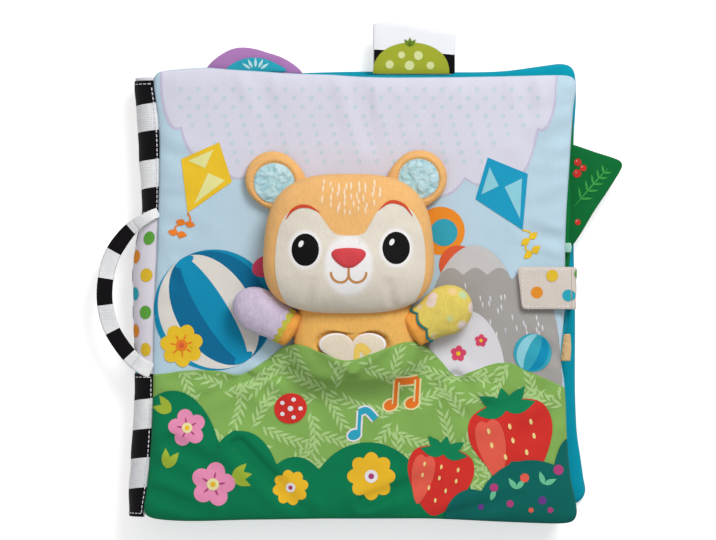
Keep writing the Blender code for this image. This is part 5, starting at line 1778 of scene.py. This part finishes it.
class CLOTHBOOK_OT_tabs(Maker, bpy.types.Operator):
    """Makes the sewn tabs at the head edge and the fore-edge"""

    bl_idname = "cloth_book.tabs"
    bl_label = "Tabs"

    def make(self):
        self.dome()
        self.striped_tab()
        self.leaf_tab()

    def dome(self):
        def crumple(x, y):
            return 0.0005 * waves(x, y, (0.008, 0.006), 101)

        for node, name, arc, steps, middle_x, thick, look, cells, slot, fill in (
            ("dome_flap", "dome_flap_cloth", DOME_ARC, 30, -0.072, 0.0014,
             cloth("purple_flap_cloth", colour("purple"), 0.1), (160, 34), "purple_cloth", 0.4),
            ("dome_flap_front", "dome_front_cloth", DOME_FRONT_ARC, 20, -0.07, 0.0007,
             cloth("teal_flap_cloth", "2BA7BE", 0.1), (120, 26), "teal_cloth", 0.3),
        ):
            (first_x, foot), (last_x, _) = flat_parts(arc[0], arc[-1])
            base = pair(np.linspace(last_x, first_x, steps)[1:-1], foot)
            outline = np.concatenate([rounded(flat_parts(*arc), 6, False), base])
            form = Stuffed(
                (middle_x, 0.144), outline, level(node, MIDDLE), thick, thick, -1.0, (0.5, 0.7), crumple,
            )
            put(form.object(name, [look], *cells), "dome_flap", node, slot=slot, fill=fill)
        sheaf = Sheaf(form.place)
        for turn in np.radians((35, 62, 90, 118, 145)):
            root = (-0.07 + 0.004 * math.cos(turn), 0.1408 + 0.002 * math.sin(turn))
            patch(sheaf, blade(root, turn, 0.0062, 0.0018, 14), 0.0002, 0, 0.001)
        made = sheaf.object("dome_front_print", [cloth("pale_ray_print", "BFE6EA", 0.05)], smooth_angle=SHARP)
        put(made, "dome_flap", slot="teal_cloth")

    def striped_tab(self):
        low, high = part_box("striped_tab")
        rise = (high.z - low.z) / 2 - 0.0001
        white = cloth("tab_white_cloth", colour("tape_white"), 0.05)
        seam = level("striped_tab", MIDDLE)
        tab = Panel(*STRIPED_TAB_SIDES, seam, rise, rise, run=0.004, seed=105, square=16, calm=0.3)
        made = tab.object("striped_tab_cloth", [white, white], 60, 44)
        put(made, "striped_tab", "striped_tab", slot="striped_webbing", fill=0.35)
        sheaf = Sheaf(tab.place, {
            "black": cloth("tab_black_cloth", colour("tape_black"), 0.1),
            "green": cloth("tab_green_print", "A7B033", 0.06),
            "pale": cloth("tab_pale_print", "DDE3A0", 0.05), "deep": cloth("tab_deep_print", "6E8F2A", 0.05),
        })
        x = np.linspace(0.0038, 0.0542, 40)
        top = through(((0, 154.6), (20, 153.6), (56, 151.0)), x)
        band(sheaf, pair(x, 0.1394), pair(x, top), 0.00012, "black")
        t = np.linspace(0, math.pi, 50)
        arc = pair(0.027 + 0.0238 * np.cos(t), 0.1396 + 0.0192 * np.sin(t) ** 0.85)
        band(sheaf, arc, pair(arc[:, 0], 0.1394), 0.0003, "green")
        dots = (
            (13.5, 145.0, 2.6), (21.0, 151.0, 2.2), (31.5, 150.6, 2.8), (39.0, 144.4, 2.4), (26.0, 144.4, 3.0)
        )
        for x, y, radius in np.array(dots) * MM:
            disc(sheaf, (x, y), radius, 0.00045, "pale", 20)
        for turn in (0.9, 1.57, 2.2):
            patch(sheaf, blade((0.0262, 0.1562), turn, 0.0058, 0.0026, 14), 0.00045, "deep")
        put(sheaf.object("striped_tab_print"), "striped_tab", slot="striped_webbing")

    def leaf_tab(self):
        def crumple(x, y):
            return 0.0006 * waves(x, y, (0.013, 0.01), 111)

        shape = rounded(flat_parts(*LEAF_TAB_OUTLINE), 8)
        height = level("leaf_tab", MIDDLE)
        form = Stuffed((0.135, 0.068), shape, height, 0.0014, 0.0014, -1.0, (0.42, 0.65), crumple)
        made = form.object("leaf_tab_cloth", [cloth("leaf_tab_green", "0A6E34", 0.14)], 160, 40)
        put(made, "leaf_tab", "leaf_tab", slot="green_cloth", fill=0.4)
        sheaf = Sheaf(form.place, {
            "vein": cloth("leaf_vein_print", "3EA24A", 0.06),
            "berry": cloth("leaf_berry_print", "D4372F", 0.06),
            "light": cloth("leaf_berry_light", "F0A096", 0.05),
        })
        stem = flat_parts(*LEAF_TAB_STEM)
        line(sheaf, rounded(stem, 8, False), 0.0011, 0.00025, "vein", taper=True)
        for number, spot in enumerate(rounded(stem, 2, False)[1:6]):
            for turn in (0.05, 1.75):
                patch(sheaf, blade(spot, turn, 0.008 - number * 0.0007, 0.0015, 12), 0.00025, "vein")
        for x, y, r in ((130.6, 77.0, 2.6), (134.4, 80.4, 2.1), (131.0, 84.0, 2.3), (131.0, 46.6, 1.8)):
            disc(sheaf, (x * MM, y * MM), r * MM, 0.0003, "berry", 20)
            disc(sheaf, ((x - 0.7) * MM, (y + 0.8) * MM), 0.5 * MM, 0.00045, "light", 10)
        put(sheaf.object("leaf_tab_print"), "leaf_tab", slot="green_cloth")


class CLOTHBOOK_OT_ribbons(Maker, bpy.types.Operator):
    """Makes the two folded ribbon loops at the fore-edge"""

    bl_idname = "cloth_book.ribbons"
    bl_label = "Ribbon loops"

    def make(self):
        for node, slot, tint in (
            ("ribbon_loop_mint", "mint_satin", "mint"), ("ribbon_loop_tan", "bear_tan_plush", "tan_ribbon")
        ):
            low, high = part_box(node)
            middle = level(node, MIDDLE)
            bend = (high.z - low.z) / 2 - 0.0002
            half_way = low.x + (high.x - low.x) * 0.5
            turn = np.linspace(-math.pi / 2, math.pi / 2, 14)
            x = np.array([low.x, half_way, *(high.x - bend + bend * np.cos(turn)), half_way, low.x])[:, None]
            z = middle + np.array([-bend, -bend, *(bend * np.sin(turn)), bend, bend])[:, None]
            y = np.linspace(low.y, high.y, 16)[None]
            shift = 0.0006 * np.sin((y - low.y) / (high.y - low.y) * math.pi)
            sheaf = Sheaf()
            sheaf.grid(np.stack(np.broadcast_arrays(x + shift * (x > low.x), y, z), -1), flip=True)
            # A copy of the ribbon's colour, a quarter lighter, is painted along its folds as painted
            # highlights.
            look = satin(f"{node}_weave", colour(tint), shade(colour(tint), 1.25)[:3], 60)
            look.node_tree.nodes["Principled BSDF"].inputs["Roughness"].default_value = 0.5
            made = thicken(sheaf.object(f"{node}_satin", [look], smooth_angle=SHARP), 0.0004, -1.0)
            put(made, "leaf_1", node, slot=slot)


class CLOTHBOOK_OT_insides(Maker, bpy.types.Operator):
    """Finishes the hidden solids: wadding, crinkle film, fastening patches and the sound module"""

    bl_idname = "cloth_book.insides"
    bl_label = "Insides"

    def make(self):
        looks = {
            "wadding": fluff("wadding_fluff", "F0F0F0"),
            # The film's pale F4F8FA is a painted highlight along its folds.
            "crinkle_film": satin("film_crackle", "C9D2D8", "F4F8FA", 240),
            "patch": fluff("hook_and_loop_pile", "E6E6E6"),
            "sound_case": hard("case_plastic", "E6E5E0"),
            "sound_button": hard("button_plastic", "C8323A"),
            "circuit_board": hard("board_lacquer", "1F6A3A", 0.45),
            "speaker": hard("speaker_steel", "B8B8B8", 0.35, 1.0),
            "button_cell": hard("cell_steel", "C8C8C6", 0.28, 1.0),
        }
        for name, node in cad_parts.items():
            if node.hide_render:
                continue
            look = next((made for key, made in looks.items() if key in name), None)
            if look is None:
                raise RuntimeError(f"{name} shows with no finish of its own")
            node.data.materials.clear()
            node.data.materials.append(look)


class CLOTHBOOK_OT_stage(Maker, bpy.types.Operator):
    """Sets the pale floor, the soft lamps, the world and the camera above the cover"""

    bl_idname = "cloth_book.stage"
    bl_label = "Stage"

    def make(self):
        scene = bpy.context.scene
        bpy.ops.mesh.primitive_grid_add(size=6.0)
        floor = bpy.context.object
        floor.name = "floor"
        floor.data.materials.append(self.floor_paint())
        world = bpy.data.worlds.new("pale_room")
        scene.world = world
        world.use_nodes = True
        tree = world.node_tree
        sky = tree.nodes["Background"]
        sky.inputs["Color"].default_value = (1.0, 1.0, 1.0, 1.0)
        path = tree.nodes.new("ShaderNodeLightPath")
        strength = tree.nodes.new("ShaderNodeMapRange")
        strength.inputs["To Min"].default_value = SKY_STRENGTH
        strength.inputs["To Max"].default_value = 1.0
        tree.links.new(path.outputs["Is Camera Ray"], strength.inputs["Value"])
        tree.links.new(strength.outputs[0], sky.inputs["Strength"])
        for name, place, size, power in LAMPS:
            light = bpy.data.lights.new(name, "AREA")
            light.size = size
            light.energy = power
            lamp = bpy.data.objects.new(name, light)
            lamp.location = place
            lamp.rotation_euler = (-Vector(place)).to_track_quat("-Z", "Y").to_euler()
            scene.collection.objects.link(lamp)
        data = bpy.data.cameras.new("camera")
        camera = bpy.data.objects.new("camera", data)
        scene.collection.objects.link(camera)
        x, y = (PICTURE[0] / 2 - ORIGIN_PIXEL[0]) * PIXEL, (ORIGIN_PIXEL[1] - PICTURE[1] / 2) * PIXEL
        camera.location = (x, y, SEEN_LEVEL + CAMERA_REACH)
        data.sensor_width = 36.0
        data.lens = data.sensor_width * CAMERA_REACH / (PICTURE[0] * PIXEL)
        data.clip_start, data.clip_end = 0.05, 20.0
        scene.camera = camera
        scene.view_settings.view_transform = "Standard"

    def floor_paint(self):
        """Matt white paint that the camera sees near white, with its shadows kept."""
        n = Nodes("floor_paint")
        grain = n.noise(30, 2)
        tint = n.blend(grain, (0.86, 0.86, 0.86, 1), (0.89, 0.89, 0.89, 1))
        n.finish(tint, None, 0.0, 0.9)
        path = n.add("ShaderNodeLightPath")
        seen = n.maths("MAXIMUM", path.outputs["Is Camera Ray"], path.outputs["Is Glossy Ray"])
        glow = n.maths("MULTIPLY", seen, FLOOR_GLOW)
        n.shader.inputs["Emission Color"].default_value = (1, 1, 1, 1)
        n.tree.links.new(glow, n.shader.inputs["Emission Strength"])
        return n.material


class CLOTHBOOK_PT_sidebar(bpy.types.Panel):
    """Lists the sizes, the colours and the makers of the cloth book"""

    bl_idname = "CLOTHBOOK_PT_sidebar"
    bl_label = "Cloth book"
    bl_space_type = "VIEW_3D"
    bl_region_type = "UI"
    bl_category = "Cloth book"

    def draw(self, context):
        for group in (context.scene.cloth_book_sizes, context.scene.cloth_book_colours):
            box = self.layout.box()
            for key in group.bl_rna.properties.keys():
                if key not in ("rna_type", "name"):
                    box.prop(group, key)
        for step in STEPS:
            self.layout.operator(step.bl_idname)


STEPS = (
    CLOTHBOOK_OT_stage, CLOTHBOOK_OT_covers, CLOTHBOOK_OT_cover_print, CLOTHBOOK_OT_head, CLOTHBOOK_OT_belly,
    CLOTHBOOK_OT_arms, CLOTHBOOK_OT_meadow, CLOTHBOOK_OT_spine, CLOTHBOOK_OT_strap, CLOTHBOOK_OT_tabs,
    CLOTHBOOK_OT_ribbons, CLOTHBOOK_OT_insides,
)
CLASSES = (ClothBookSizes, ClothBookColours, *STEPS, CLOTHBOOK_PT_sidebar)


def register():
    for kind in CLASSES:
        bpy.utils.register_class(kind)
    bpy.types.Scene.cloth_book_sizes = PointerProperty(type=ClothBookSizes)
    bpy.types.Scene.cloth_book_colours = PointerProperty(type=ClothBookColours)


def unregister():
    del bpy.types.Scene.cloth_book_sizes
    del bpy.types.Scene.cloth_book_colours
    for kind in reversed(CLASSES):
        bpy.utils.unregister_class(kind)


def main():
    register()
    for step in STEPS:
        group, name = step.bl_idname.split(".")
        getattr(getattr(bpy.ops, group), name)()


if __name__ == "__main__":
    main()
